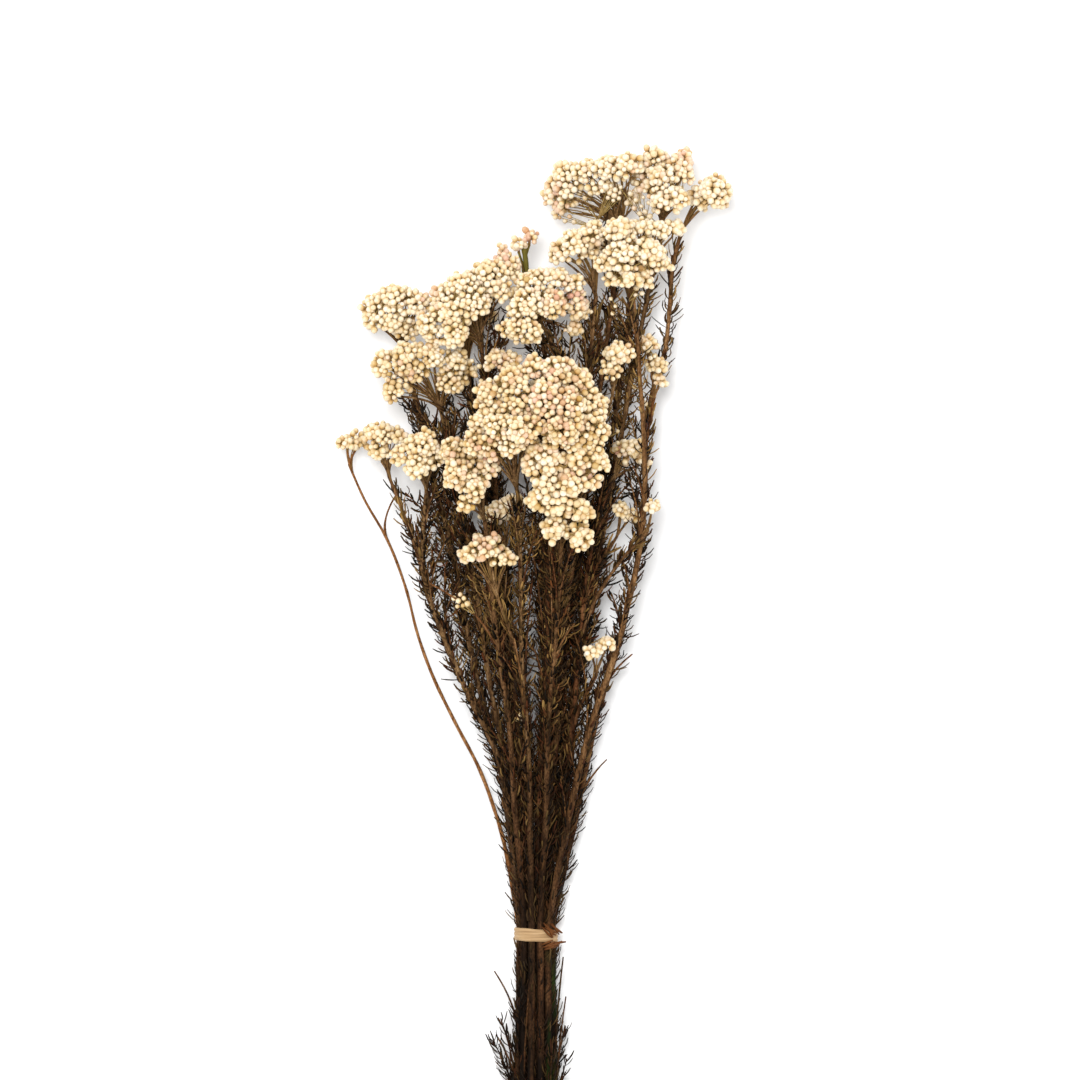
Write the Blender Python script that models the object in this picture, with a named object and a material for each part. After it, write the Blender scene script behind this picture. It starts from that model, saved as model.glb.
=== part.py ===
"""A bunch of dried rice flower, lying on a surface.

Nineteen woody stems with needle leaves are held by one flat tie. They fan out from it to clustered
heads of small round buds. Each stem with its side shoots, twigs and leaves is one solid, each head is
one solid, and the tie is one. X runs across the bunch, Y from the cut ends to the flowers, and Z up
from the surface. Run it in Blender 4.5, where one unit is a metre.
"""

import math
from collections import namedtuple

import bmesh
import bpy
import numpy as np
from mathutils import Vector
from mathutils.bvhtree import BVHTree
from mathutils.geometry import delaunay_2d_cdt

MM = 0.001

# All the sizes below are in millimetres. Places are (across, along, up), counted from the middle of
# the tie, apart from up, which is the height over the surface.
TIE_ACROSS = 0.6  # the tie's place in the part's frame, whose origin is under the middle of the bunch
TIE_ALONG = -159.4
TIE_UP = 12.9
TIE_WIDTH = 7.0
TIE_THICKNESS = 0.8
TIE_INNER_RADIUS = 11.6
TIE_SIDES = 28
GRIP = 6.0  # the stems run straight this far to both sides of the tie's middle

CUT_END = -116.0  # where the stems are cut
CUT_END_UP = 12.45  # height of the bundle's middle at the cut ends
FLARE = 0.22  # how much wider the bundle is at the cut ends than in the tie
RING_RADII = (0.0, 4.55, 9.15)  # the stems stand in rings in the tie
STEM_RADIUS = 2.0
CROWN_RADIUS = 1.15  # of a stem where it divides under its head
SLIM_FROM = 60.0  # at this height a slim stem has left the thickness of the others behind
SLIM_SHARE = 0.58  # of it that is left above
SHOOT_RADIUS = 1.1
SHOOT_TAPER = 0.8  # a side shoot's radius at its end, as a share of that at its root
TWIG_RADIUS = 0.8
TIP_RADIUS = 0.3
START_OF_FAN = 0.10  # the share of a stem's length over which it bends away from the bundle
WIGGLE = 1.3  # how far a stem strays from its even curve
WIGGLE_LENGTH = 150.0
WIGGLE_SKEW = 1.3  # how much faster it strays up and down than across
SIDE_BEND = 0.45  # a side shoot follows its stem for this share of the way, then bends over
AHEAD = 5.0  # the stretch of a stem that gives its heading

STEM_STEP = 46.0  # between a stem's rings of corners
STEM_SIDES = 5
SHOOT_SIDES = 4
TWIG_SIDES = 3
SHOOT_SEGMENTS = 4
TWIG_SEGMENTS = 3
NOBODY = -1  # owns the branches, from which every needle keeps clear
MOST_BRANCHES = 5  # under one head, with the stem's own end
FIRST_BRANCH = 2.6  # from a stem's end to the nearest branch
BRANCH_STEP = 2.9  # between the places where two branches leave
BRANCH_RADIUS = 1.0
BRANCH_ROOM = 0.4  # kept clear round a branch
LEAST_BRANCH = 4.0
SEAT_GAP = 0.35  # between a branch's tip and the head it carries
SEAT_EASE = 0.9  # a branch's flanks may come a little nearer, to this share of the gap
SEAT_STEP = 0.1
SEAT_POINTS = 30
POINT_RADIUS = 0.1  # of what ends in a point

NEEDLE_LENGTH = 9.5
NEEDLE_WIDTH = 1.4
NEEDLE_DEPTH = 2.2  # of a needle's root, along its stem
NEEDLE_LEAN = math.radians(42)  # between a needle and its stem
NEEDLE_STEP = 20.4  # along the stem
NEEDLE_LENGTHS = (0.8, 1.15)  # the spread of the lengths
NEEDLE_LEANS = (0.8, 1.2)
NEEDLE_CLEARANCE = 1.2  # between a needle's middle line and any other piece
NEEDLE_POINTS = 9
NEEDLE_LEAST_UP = 0.5
NEEDLE_TIE_GAP = 1.6
NEEDLE_ASIDE = (0, 1, -1, 2, -2)  # the sides tried for a needle, counted from its own
SPIKE_SHARE = 0.38  # half a spike's width at the root, at most, as a share of its side's width
GOLDEN_ANGLE = math.pi * (3 - math.sqrt(5))

BUD_PITCH = 11.2  # the buds stand for a few real ones each
BUD_HEIGHT = 1.9
BUD_FOOT = 0.8  # how far the foot of a bud lies within its lobe's radius
BUD_REACH = math.radians(105)  # buds cover a lobe this far round from its top
UNDERSIDE = 0.62  # a lobe's radius at its underside, as a share of its radius
CELL_AREA = 0.87  # of a cell, as a share of its pitch squared
LEAST_CELLS = 10
LOBE_GAP = 1.6
LOBE_BITE = 3.0  # neighbouring lobes of one head bulge to each other until they meet by this much
BULGE_SHARPNESS = 3

SHARP_EDGE = math.radians(75)
SEED = 7

# ring and angle are the stem's place in the tie, and crown is where it divides under its head. Lobes
# are (across, along, up, radius).
Stem = namedtuple("Stem", "name ring angle crown lobes")
# A side shoot leaves its stem at the height leaves_at and carries a head of its own.
Shoot = namedtuple("Shoot", "name stem leaves_at crown lobes")
# A twig is a side shoot without a head.
Twig = namedtuple("Twig", "stem leaves_at tip")

STEMS = [
    Stem("top_left", 1, 270, (47, 388, 30), [
        (10, 409, 26, 7.5), (18, 418, 32, 9.5), (16, 401, 27, 6.5), (29, 419, 38, 8.5), (35, 411, 40, 6.5),
        (41, 421, 44, 9), (51, 422, 54, 8), (43, 408, 27, 6.5), (52, 405, 31, 6.5), (18, 409, 33, 7)]),
    Stem("top", 1, 330, (69, 390, 38), [
        (65, 426, 42, 8), (78, 419, 46, 9), (81, 428, 40, 5.5), (69, 415, 51, 8.5), (61, 412, 42, 7),
        (70, 404, 55, 8), (79, 405, 55, 6.5), (58, 419, 40, 6.5)]),
    Stem("top_right", 2, 345, (80, 388, 34), [(97, 408, 42, 10.5), (88, 405, 39, 6.5)]),
    Stem("upper_left", 1, 30, (33, 352, 44), [
        (14, 375, 52, 7.5), (22, 380, 58, 9.5), (32, 384, 58, 8.5), (30, 375, 54, 6.5)]),
    Stem("upper", 2, 45, (53, 352, 52.5), [
        (45, 386, 72, 8.5), (38, 369, 68, 7), (48, 373, 72, 9.5), (57, 386, 62, 8), (61, 374, 70, 9),
        (68, 370, 64, 6.5), (51, 361, 76, 6), (66, 387, 60, 7), (76, 388, 52, 6), (43, 360, 67, 5),
        (59, 361, 66, 5.5)]),
    Stem("left_upper", 1, 210, (-30, 325, 42), [
        (-50, 350, 56, 8.5), (-39, 355, 60, 10), (-26, 361, 58, 10.5), (-17, 366, 52, 9), (-20, 354, 63, 7),
        (-34, 346, 66, 9), (-47, 342, 66, 8.5), (-57, 336, 62, 8.5), (-44, 331, 68, 8.5),
        (-18, 375, 52, 4.5), (-55, 328, 60, 6.5)]),
    Stem("mid_upper", 0, 0, (2, 338, 49), [
        (-2, 358, 62, 9), (9, 358, 60, 10), (19, 356, 60, 8), (8, 347, 69, 8.5), (22, 345, 58, 7.5),
        (-6, 346, 71, 9), (-11, 334, 73, 8), (-3, 331, 74, 6.5), (20, 334, 52, 4.5),
        (-9, 352, 57, 5.5)]),
    Stem("left_far", 2, 225, (-72, 320, 26), [
        (-88, 345, 34, 8.5), (-77, 349, 38, 10), (-67, 347, 40, 9), (-79, 338, 41, 7), (-71, 333, 37, 7.5),
        (-87, 338, 36, 5.5)]),
    Stem("left", 1, 150, (-52, 288, 38), [
        (-80, 314, 50, 9.5), (-69, 317, 56, 10), (-77, 300, 54, 7.5), (-57, 317, 59, 8.5),
        (-47, 304, 52, 8.5), (-44, 316, 56, 7), (-68, 308, 54, 7.5), (-37, 310, 50, 5)]),
    Stem("dome", 1, 90, (10, 262, 62), [
        (-24, 297, 86, 9), (-12, 303, 90, 9.5), (0, 309, 88, 9.5), (12, 309, 87, 9.5), (22, 303, 86, 9.5),
        (31, 292, 85, 8.5), (-10, 293, 95, 8), (4, 295, 97, 10.5), (18, 290, 97, 10), (30, 279, 91, 9.5),
        (14, 278, 101, 10)]),
    Stem("front_left", 2, 105, (-10, 244, 66), [
        (-30, 281, 88, 8.5), (-20, 279, 98, 8.5), (-33, 271, 90, 7), (-23, 268, 92, 8.5), (-10, 277, 105, 8),
        (-13, 269, 97, 7), (-2, 279, 101, 7)]),
    Stem("front_low", 2, 75, (14, 216, 56), [
        (8, 262, 90, 9), (22, 262, 90, 9.5), (33, 260, 86, 7.5), (-3, 257, 88, 6), (6, 247, 88, 8),
        (18, 248, 90, 9), (28, 250, 85, 6.5), (1, 239, 85, 6.5), (12, 237, 86, 8), (24, 233, 84, 7.5),
        (10, 223, 80, 7.5), (24, 219, 80, 7.5), (0, 265, 90, 7)]),
    Stem("mid_left", 2, 165, (-60, 245, 52), [
        (-62, 269, 68, 9), (-72, 264, 64, 8), (-64, 257, 70, 7), (-55, 264, 64, 7)]),
    Stem("mid", 2, 135, (-28, 228, 56), [
        (-46, 266, 76, 7.5), (-36, 261, 74, 8.5), (-42, 253, 81, 8.5), (-27, 257, 78, 7.5),
        (-34, 246, 83, 8), (-37, 237, 80, 5.5)]),
    Stem("outer_left", 2, 195, (-103, 259, 20), [(-104, 271, 24, 6), (-98, 272, 22, 5)]),
    Stem("right", 2, 15, (41, 250, 35), [
        (53, 267, 39, 7.5), (59, 261, 38, 4.5), (46, 266, 38, 5.5)]),
    Stem("back_mid", 2, 285, (17, 266, 12), [
        (4, 298, 9.6, 10.5), (19, 302, 10, 11), (29, 291, 11, 7.5)]),
    Stem("back_left", 2, 255, (-38, 318, 12), [
        (-49, 344, 9.2, 10), (-35, 351, 10, 11), (-31, 341, 13, 8.5)]),
    Stem("back_right", 2, 315, (52, 344, 13), [(44, 377, 9.6, 10.5), (60, 372, 10, 11)]),
]

SHOOTS = [
    Shoot("outer", "mid_left", 188, (-81, 253, 33), [
        (-89, 276, 36, 6.5), (-82, 274, 37, 8), (-86, 265, 37, 6), (-75, 273, 40, 5)]),
    Shoot("sprig", "mid_upper", 225, (-7, 366, 36), [(-3, 384, 40, 5), (-10, 379, 42, 4.5)]),
    Shoot("behind", "left_upper", 230, (-15, 298, 52), [(-22, 316, 64, 6.5), (-14, 316, 63, 5.5)]),
    Shoot("low", "front_left", 130, (-21, 186, 54), [
        (-36, 209, 62, 6.5), (-26, 212, 66, 7), (-17, 207, 64, 6.5), (-22, 218, 64, 4.5),
        (-31, 218, 63, 4)]),
    Shoot("low_back", "left", 150, (-17, 212, 36), [(-14, 236, 46, 8), (-22, 232, 45, 7)]),
    Shoot("right_upper", "upper_left", 205, (42, 297, 50), [(45, 319, 63, 8), (41, 310, 62, 5.5)]),
    Shoot("right_edge", "top_right", 256, (65, 296, 34), [
        (61, 324, 38, 6.5), (66, 313, 38, 6), (68, 305, 36, 4.5)]),
    Shoot("right_low", "right", 165, (44, 219, 34), [(47, 234, 40, 6), (52, 231, 38, 4.5)]),
    Shoot("right_tiny", "right", 150, (61, 222, 54), [(63.5, 235, 57, 5)]),
    Shoot("lowest", "right", 105, (33, 143, 36), [(31, 156, 42, 5), (39, 161, 43, 5)]),
    Shoot("back_low", "back_left", 190, (-40, 230, 10), [(-46, 264, 9.6, 10.3), (-43, 251, 9.4, 9.5)]),
]

TWIGS = [
    Twig("top_right", 133, (53, 155, 30)),
    Twig("outer_left", 217, (-77, 243, 20)),
    Twig("mid_left", -92, (-22, -55, 18)),
    Twig("outer_left", -60, (-23, -20, 14)),
    Twig("outer_left", -84, (-21, -46, 9)),
    Twig("mid", 150, (-58, 194, 57)),
    Twig("dome", 116, (8, 168, 44)),
]

# Some stems run a course of their own. It is given by places (across, along, up) on their way from the
# tie to the crown.
COURSES = {
    "top": [(16, 100, 14.5), (31, 190, 18.5), (46, 270, 21.5), (57, 330, 26)],
    "top_right": [
        (18.5, 50, 15.5), (25, 80, 17), (31, 110, 18.5), (38, 137, 20), (44, 155, 20.5), (52.5, 190, 21),
        (57, 212, 21.5), (60, 245, 22), (61, 284, 24), (65, 303, 26), (70.5, 320, 28), (73.5, 345, 30),
        (75.5, 370, 32)],
    "upper": [
        (17, 60, 24), (24, 92, 27), (34, 128, 30), (44, 157, 33), (49.5, 178, 35), (53.5, 195, 38),
        (57, 213, 42), (59.5, 240, 48), (59.5, 262, 51), (58.5, 287, 52), (57, 305, 52), (55, 334, 52)],
    "mid_upper": [(5, 120, 21), (10, 190, 29), (14, 250, 37), (17, 290, 43), (14, 316, 46)],
    "mid_left": [
        (-14, 55, 20), (-22, 101, 27), (-37, 132, 33), (-50, 163, 38), (-58.5, 185, 42), (-62.5, 210, 46),
        (-61.5, 230, 49.5)],
    "outer_left": [
        (-21, 63, 13), (-31, 91, 15), (-45, 118, 16.5), (-57, 143, 17.5), (-65, 165, 18), (-72, 192, 18.5),
        (-83, 220, 19), (-94, 239, 19.5)],
    "right": [(19, 100, 21), (27, 190, 30), (32, 222, 33)],
}

SLIM_STEMS = {"outer_left"}
BARE_STEMS = {"outer_left"}  # old wood that has lost its needles

# A needle or a branch that rises from a tube's side, at a share of one of its segments.
Spike = namedtuple("Spike", "segment side share tip")
# A tube of wood. head names the head that it carries at its end.
Wood = namedtuple("Wood", "line radii sides stem head leafy")

COLOURS = {
    "stem": (0.080, 0.045, 0.022, 1.0),
    "head": (0.78, 0.62, 0.38, 1.0),
    "tie": (0.52, 0.36, 0.20, 1.0),
}
ROUGHNESS = {"stem": 0.85, "head": 0.8, "tie": 0.7}


def material(name, kind):
    """The Principled material of a stem, a head or the tie."""
    made = bpy.data.materials.new(name)
    made.use_nodes = True
    shader = made.node_tree.nodes["Principled BSDF"]
    shader.inputs["Base Color"].default_value = COLOURS[kind]
    shader.inputs["Roughness"].default_value = ROUGHNESS[kind]
    shader.inputs["Metallic"].default_value = 0.0
    return made


def unit(vector):
    return vector / np.linalg.norm(vector)


def across_of(direction):
    """Two unit vectors square to a direction and to each other."""
    side = np.cross(direction, (0.0, 0.0, 1.0))
    if np.linalg.norm(side) < 0.1:
        side = np.cross(direction, (1.0, 0.0, 0.0))
    side = unit(side)
    return side, np.cross(side, direction)


# Where the stems run

def fan(share):
    """How far a stem has left its place in the bundle, from 0 in the tie to 1 at its crown."""
    return (math.hypot(share, START_OF_FAN) - START_OF_FAN) / (math.hypot(1, START_OF_FAN) - START_OF_FAN)


def course_point(course, along):
    """Where the smooth line through the places of a course is at a height along the bunch."""
    course = np.array(course, float)
    heights = course[:, 1]
    slopes = np.gradient(course, heights, axis=0)
    k = int(np.clip(np.searchsorted(heights, along) - 1, 0, len(course) - 2))
    step = heights[k + 1] - heights[k]
    share = (along - heights[k]) / step
    left = 1 - share
    return (left**2 * ((1 + 2 * share) * course[k] + share * step * slopes[k])
            + share**2 * ((1 + 2 * left) * course[k + 1] - left * step * slopes[k + 1]))


def stem_point(stem, along):
    """The middle of a stem at a height along the bunch."""
    angle = math.radians(stem.angle)
    ring = RING_RADII[stem.ring]
    seat = np.array((ring * math.cos(angle), ring * math.sin(angle)))
    start = seat + (0, TIE_UP)
    if along <= GRIP:
        below = max(0.0, (along + GRIP) / (CUT_END + GRIP))
        middle = TIE_UP + (CUT_END_UP - TIE_UP) * below
        place = seat * (1 + FLARE * below**1.5) + (0, middle)
    elif stem.name in COURSES:
        return course_point([(start[0], GRIP, start[1]), *COURSES[stem.name], stem.crown], along)
    else:
        share = (along - GRIP) / (stem.crown[1] - GRIP)
        crown = np.array((stem.crown[0], stem.crown[2]))
        phase = 2 * math.pi * along / WIGGLE_LENGTH + stem.angle
        stray = WIGGLE * math.sin(math.pi * share) ** 2
        place = start + (crown - start) * fan(share)
        place = place + stray * np.array((math.sin(phase), math.cos(WIGGLE_SKEW * phase)))
    return np.array((place[0], along, place[1]))


def stem_line(stem):
    """The points of a stem from its cut end to its crown. It is straight where the tie holds it."""
    below = np.linspace(CUT_END, -GRIP, math.ceil((-GRIP - CUT_END) / STEM_STEP) + 1)
    above = np.linspace(GRIP, stem.crown[1], math.ceil((stem.crown[1] - GRIP) / STEM_STEP) + 1)
    if stem.name in COURSES:
        above = [GRIP, *(place[1] for place in COURSES[stem.name]), stem.crown[1]]
    return np.array([stem_point(stem, along) for along in (*below, *above)])


def side_line(stem, leaves_at, end, segments):
    """The points of a shoot or twig: it leaves along its stem and bends over to its end."""
    start = stem_point(stem, leaves_at)
    heading = unit(stem_point(stem, leaves_at + AHEAD) - start)
    end = np.array(end, float)
    bend = start + heading * SIDE_BEND * np.linalg.norm(end - start)
    shares = np.linspace(0, 1, segments + 1)[:, None]
    return (1 - shares) ** 2 * start + 2 * shares * (1 - shares) * bend + shares**2 * end


def stem_radii(stem, line):
    """A stem's radius at each of its points: nearly even in the bundle and slimmer to the crown."""
    share = np.clip(line[:, 1] / line[-1, 1], 0, 1)
    radii = STEM_RADIUS + (CROWN_RADIUS - STEM_RADIUS) * share
    if stem.name in SLIM_STEMS:
        radii = radii * np.interp(line[:, 1], (0, SLIM_FROM), (1, SLIM_SHARE))
    return radii


# The heads

def clear_lobes():
    """Every head's lobes. Lobes of different heads that would press into each other are made smaller."""
    heads = {s.name: [np.array(lobe, float) for lobe in s.lobes] for s in STEMS + SHOOTS}
    names = sorted(heads)
    for i, one in enumerate(names):
        for other in names[i + 1:]:
            for a in heads[one]:
                for b in heads[other]:
                    excess = a[3] + b[3] + LOBE_GAP - np.linalg.norm(a[:3] - b[:3])
                    if excess > 0:
                        total = a[3] + b[3]
                        a[3] -= excess * a[3] / total
                        b[3] -= excess * b[3] / total
    return heads


def even_directions(count, turn):
    """Directions spread evenly all round, by the sunflower rule."""
    z = 1 - (2 * np.arange(count) + 1) / count
    angle = np.arange(count) * GOLDEN_ANGLE + turn
    flat = np.sqrt(1 - z * z)
    return np.column_stack((flat * np.cos(angle), flat * np.sin(angle), z))


def lobe_mesh(lobe, axis, turn, bulges):
    """A lobe of a head: a knob divided into even cells, each raised into a bud, plain underneath."""
    centre, radius = lobe[:3], lobe[3]
    count = max(LEAST_CELLS, round(4 * math.pi * radius**2 / (CELL_AREA * BUD_PITCH**2)))
    side, other = across_of(axis)
    directions = even_directions(count, turn) @ np.array((side, other, axis))
    for way, _ in bulges:
        directions[np.argmax(directions @ way)] = way
    around = bmesh.new()
    for direction in directions:
        around.verts.new(direction)
    bmesh.ops.convex_hull(around, input=around.verts)
    around.verts.index_update()
    around.faces.index_update()
    around.faces.ensure_lookup_table()

    def reach(direction, height):
        """How far the lobe reaches this way: less on its underside and more to its neighbours."""
        facing = min(0.0, direction @ axis)
        plain = (radius - BUD_FOOT + height) * (1 + (UNDERSIDE - 1) * facing * facing)
        bulged = [need * max(0.0, direction @ way) ** BULGE_SHARPNESS for way, need in bulges]
        return plain + max(bulged, default=0.0)

    corners = [unit(np.array(face.calc_center_median())) for face in around.faces]
    made = bmesh.new()
    valleys = [made.verts.new(centre + c * reach(c, 0)) for c in corners]
    for vert in around.verts:
        out = unit(np.array(vert.co))
        east, north = across_of(out)
        ring = sorted((f.index for f in vert.link_faces),
                      key=lambda i: math.atan2(corners[i] @ north, corners[i] @ east))
        if math.acos(np.clip(out @ axis, -1, 1)) > BUD_REACH:
            made.faces.new([valleys[i] for i in ring])
            continue
        top = made.verts.new(centre + out * reach(out, BUD_HEIGHT))
        for one, after in zip(ring, ring[1:] + ring[:1]):
            made.faces.new((valleys[one], valleys[after], top))
    around.free()
    bmesh.ops.triangulate(made, faces=made.faces)
    bmesh.ops.recalc_face_normals(made, faces=made.faces)
    return made


# Making the solids

def to_frame(points):
    """From the layout's millimetres to the part's frame in metres."""
    return (np.asarray(points, float) + (TIE_ACROSS, TIE_ALONG, 0)) * MM


def solid(made):
    """An object from a mesh in the layout's millimetres."""
    for vert in made.verts:
        vert.co = to_frame(vert.co)
    mesh = bpy.data.meshes.new("piece")
    made.to_mesh(mesh)
    made.free()
    ob = bpy.data.objects.new("piece", mesh)
    bpy.context.scene.collection.objects.link(ob)
    return ob


def finish(ob, name, kind):
    """Gives a whole piece its name, its material and smooth shading."""
    ob.name = name
    ob.data.name = name
    ob.data.materials.clear()
    ob.data.materials.append(material(name, kind))
    ob.data.shade_smooth()
    ob.data.set_sharp_from_angle(angle=SHARP_EDGE)


def rings_of(line, radii, sides):
    """The corners of a tube's rings along a line. The rings stand square to the way."""
    rings = []
    for k, point in enumerate(line):
        side, other = across_of(unit(line[min(k + 1, len(line) - 1)] - line[max(k - 1, 0)]))
        angles = np.arange(sides)[:, None] * 2 * math.pi / sides
        rings.append(point + radii[k] * (side * np.cos(angles) + other * np.sin(angles)))
    return np.array(rings)


def side_middle(rings, segment, side, share):
    """The middle of a tube's side, at a share of a segment."""
    after = (side + 1) % len(rings[0])
    foot = (rings[segment][side] + rings[segment][after]) / 2
    top = (rings[segment + 1][side] + rings[segment + 1][after]) / 2
    return foot + (top - foot) * share


def tube(rings, spikes, point):
    """A closed tube with spikes on its sides. Where a point is given, it runs out in it."""
    made = bmesh.new()
    corners = [[made.verts.new(corner) for corner in ring] for ring in rings]
    sides = len(rings[0])
    for k in range(len(rings) - 1):
        for j in range(sides):
            j2 = (j + 1) % sides
            quad = (corners[k][j], corners[k][j2], corners[k + 1][j2], corners[k + 1][j])
            grown = [spike for spike in spikes if (spike.segment, spike.side) == (k, j)]
            if grown:
                side_with_spikes(made, quad, grown)
            else:
                made.faces.new(quad)
    made.faces.new(corners[0][::-1])
    if point is None:
        made.faces.new(corners[-1])
    else:
        end = made.verts.new(point)
        for one, after in zip(corners[-1], corners[-1][1:] + corners[-1][:1]):
            made.faces.new((one, after, end))
    bmesh.ops.triangulate(made, faces=made.faces)
    bmesh.ops.recalc_face_normals(made, faces=made.faces)
    return made


def side_with_spikes(made, quad, grown):
    """One side of a tube's segment, with three-sided spikes that rise from it and end in points."""
    foot_left, foot_right, top_right, top_left = (np.array(vert.co) for vert in quad)
    width = np.linalg.norm(foot_right - foot_left)
    length = np.linalg.norm(top_left - foot_left)
    half = min(NEEDLE_WIDTH / 2, SPIKE_SHARE * width)
    flat = [(0, 0), (width, 0), (width, length), (0, length)]
    verts = list(quad)
    bounds = [(0, 1), (1, 2), (2, 3), (3, 0)]
    for spike in grown:
        first = len(verts)
        middle, along = width / 2, spike.share * length
        for x, y in ((middle - half, along - NEEDLE_DEPTH / 2), (middle + half, along - NEEDLE_DEPTH / 2),
                     (middle, along + NEEDLE_DEPTH / 2)):
            s, t = x / width, y / length
            flat.append((x, y))
            verts.append(made.verts.new((1 - t) * ((1 - s) * foot_left + s * foot_right)
                                        + t * ((1 - s) * top_left + s * top_right)))
        point = made.verts.new(spike.tip)
        for one, after in ((0, 1), (1, 2), (2, 0)):
            bounds.append((first + one, first + after))
            made.faces.new((verts[first + one], verts[first + after], point))
    _, _, pieces, *_ = delaunay_2d_cdt([Vector(place) for place in flat], bounds, [], 1, 1e-6)
    for piece in pieces:
        if min(piece) < 4 or len({(index - 4) // 3 for index in piece}) > 1:
            made.faces.new([verts[index] for index in piece])


def fuse(base, additions):
    """Joins the additions to the base by one union, and removes them."""
    if additions:
        group = bpy.data.collections.new("to_fuse")
        bpy.context.scene.collection.children.link(group)
        for ob in additions:
            bpy.context.scene.collection.objects.unlink(ob)
            group.objects.link(ob)
        union = base.modifiers.new("union", "BOOLEAN")
        union.operation = "UNION"
        union.operand_type = "COLLECTION"
        union.collection = group
        union.solver = "MANIFOLD"
        with bpy.context.temp_override(object=base, active_object=base):
            bpy.ops.object.modifier_apply(modifier=union.name)
        for ob in additions:
            bpy.data.objects.remove(ob)
        bpy.data.collections.remove(group)
    return base


def fill_pockets(ob):
    """Fills the closed pockets that lobes leave between them inside a head: only the outer skin stays."""
    made = bmesh.new()
    made.from_mesh(ob.data)
    left = set(made.verts)
    skins = []
    while left:
        skin, edge = set(), {left.pop()}
        while edge:
            skin |= edge
            edge = {e.other_vert(v) for v in edge for e in v.link_edges} - skin
        left -= skin
        skins.append(skin)
    outer = max(skins, key=lambda skin: max(v.co.z for v in skin) - min(v.co.z for v in skin))
    for skin in skins:
        faces = [face for vert in skin for face in vert.link_faces]
        inward = sum(face.calc_area() * face.normal.dot(face.calc_center_median()) for face in faces) < 0
        if inward and skin is not outer:
            bmesh.ops.delete(made, geom=list(skin), context="VERTS")
    made.to_mesh(ob.data)
    made.free()


def press_flat(ob):
    """Takes off what would reach below the surface that the bunch lies on, and leaves a flat spot."""
    made = bmesh.new()
    made.from_mesh(ob.data)
    if min(v.co.z for v in made.verts) < 0:
        everything = made.verts[:] + made.edges[:] + made.faces[:]
        cut = bmesh.ops.bisect_plane(made, geom=everything, dist=1e-7, plane_co=(0, 0, 0),
                                     plane_no=(0, 0, -1), clear_outer=True)
        rim = [e for e in cut["geom_cut"] if isinstance(e, bmesh.types.BMEdge)]
        bmesh.ops.holes_fill(made, edges=rim)
        bmesh.ops.triangulate(made, faces=made.faces)
        made.to_mesh(ob.data)
    made.free()


def bulges_of(lobes):
    """For each lobe, the ways in which it bulges so that it meets its neighbours, and how far."""
    feet = [lobe[3] - BUD_FOOT for lobe in lobes]
    bulges = [[] for _ in lobes]
    joined, left = [0], list(range(1, len(lobes)))
    while left:
        apart = {(i, j): np.linalg.norm(lobes[j][:3] - lobes[i][:3]) - feet[i] - feet[j]
                 for i in joined for j in left}
        i, j = min(apart, key=apart.get)
        need = (apart[i, j] + LOBE_BITE) / 2
        if need > 0:
            way = unit(lobes[j][:3] - lobes[i][:3])
            bulges[i].append((way, need))
            bulges[j].append((-way, need))
        joined.append(j)
        left.remove(j)
    return bulges


def build_head(name, lobes, crown, rng):
    """A head: its lobes, joined where they meet."""
    middle = np.mean([lobe[:3] for lobe in lobes], axis=0)
    outward = unit(middle - crown)
    parts = []
    for lobe, bulges in zip(lobes, bulges_of(lobes)):
        axis = unit(outward + unit(lobe[:3] - crown))
        parts.append(solid(lobe_mesh(lobe, axis, rng.uniform(0, 2 * math.pi), bulges)))
    head = fuse(parts[0], parts[1:])
    fill_pockets(head)
    press_flat(head)
    finish(head, f"head_{name}", "head")
    return head


class Taken:
    """The room that is taken already, as balls along every piece, each with the number of its owner."""

    def __init__(self):
        self.balls = np.empty((0, 5))

    def add(self, line, radii, owner, spacing=1.5):
        for (a, b), (ra, rb) in zip(zip(line, line[1:]), zip(radii, radii[1:])):
            shares = np.linspace(0, 1, 2 + int(np.linalg.norm(b - a) / spacing))[:, None]
            rows = np.hstack((a + (b - a) * shares, ra + (rb - ra) * shares, np.full_like(shares, owner)))
            self.balls = np.vstack((self.balls, rows))

    def room(self, points, owners):
        """How far each point is from the nearest piece of any other owner."""
        others = self.balls[~np.isin(self.balls[:, 4], owners)]
        return (np.linalg.norm(others[:, :3] - points[:, None], axis=2) - others[:, 3]).min(axis=1)


def seat_on(tree, start, target, taken, owners):
    """Where a straight branch to a target ends, a gap off its head, or None if it can't reach it clear."""
    way = unit(target - start)
    _, _, _, distance = tree.ray_cast(Vector(to_frame(start)), Vector(way))
    length = distance / MM - SEAT_GAP if distance else 0
    shares = np.linspace(0, 1, SEAT_POINTS)
    radii = BRANCH_RADIUS * (1 - shares)
    while length > LEAST_BRANCH:
        points = start + way * length * shares[:, None]
        own = np.array([tree.find_nearest(Vector(to_frame(point)))[3] for point in points]) / MM
        if (own > radii + SEAT_EASE * SEAT_GAP).all():
            return points[-1] if (taken.room(points, owners) > radii + SEAT_GAP).all() else None
        length -= SEAT_STEP
    return None


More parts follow.
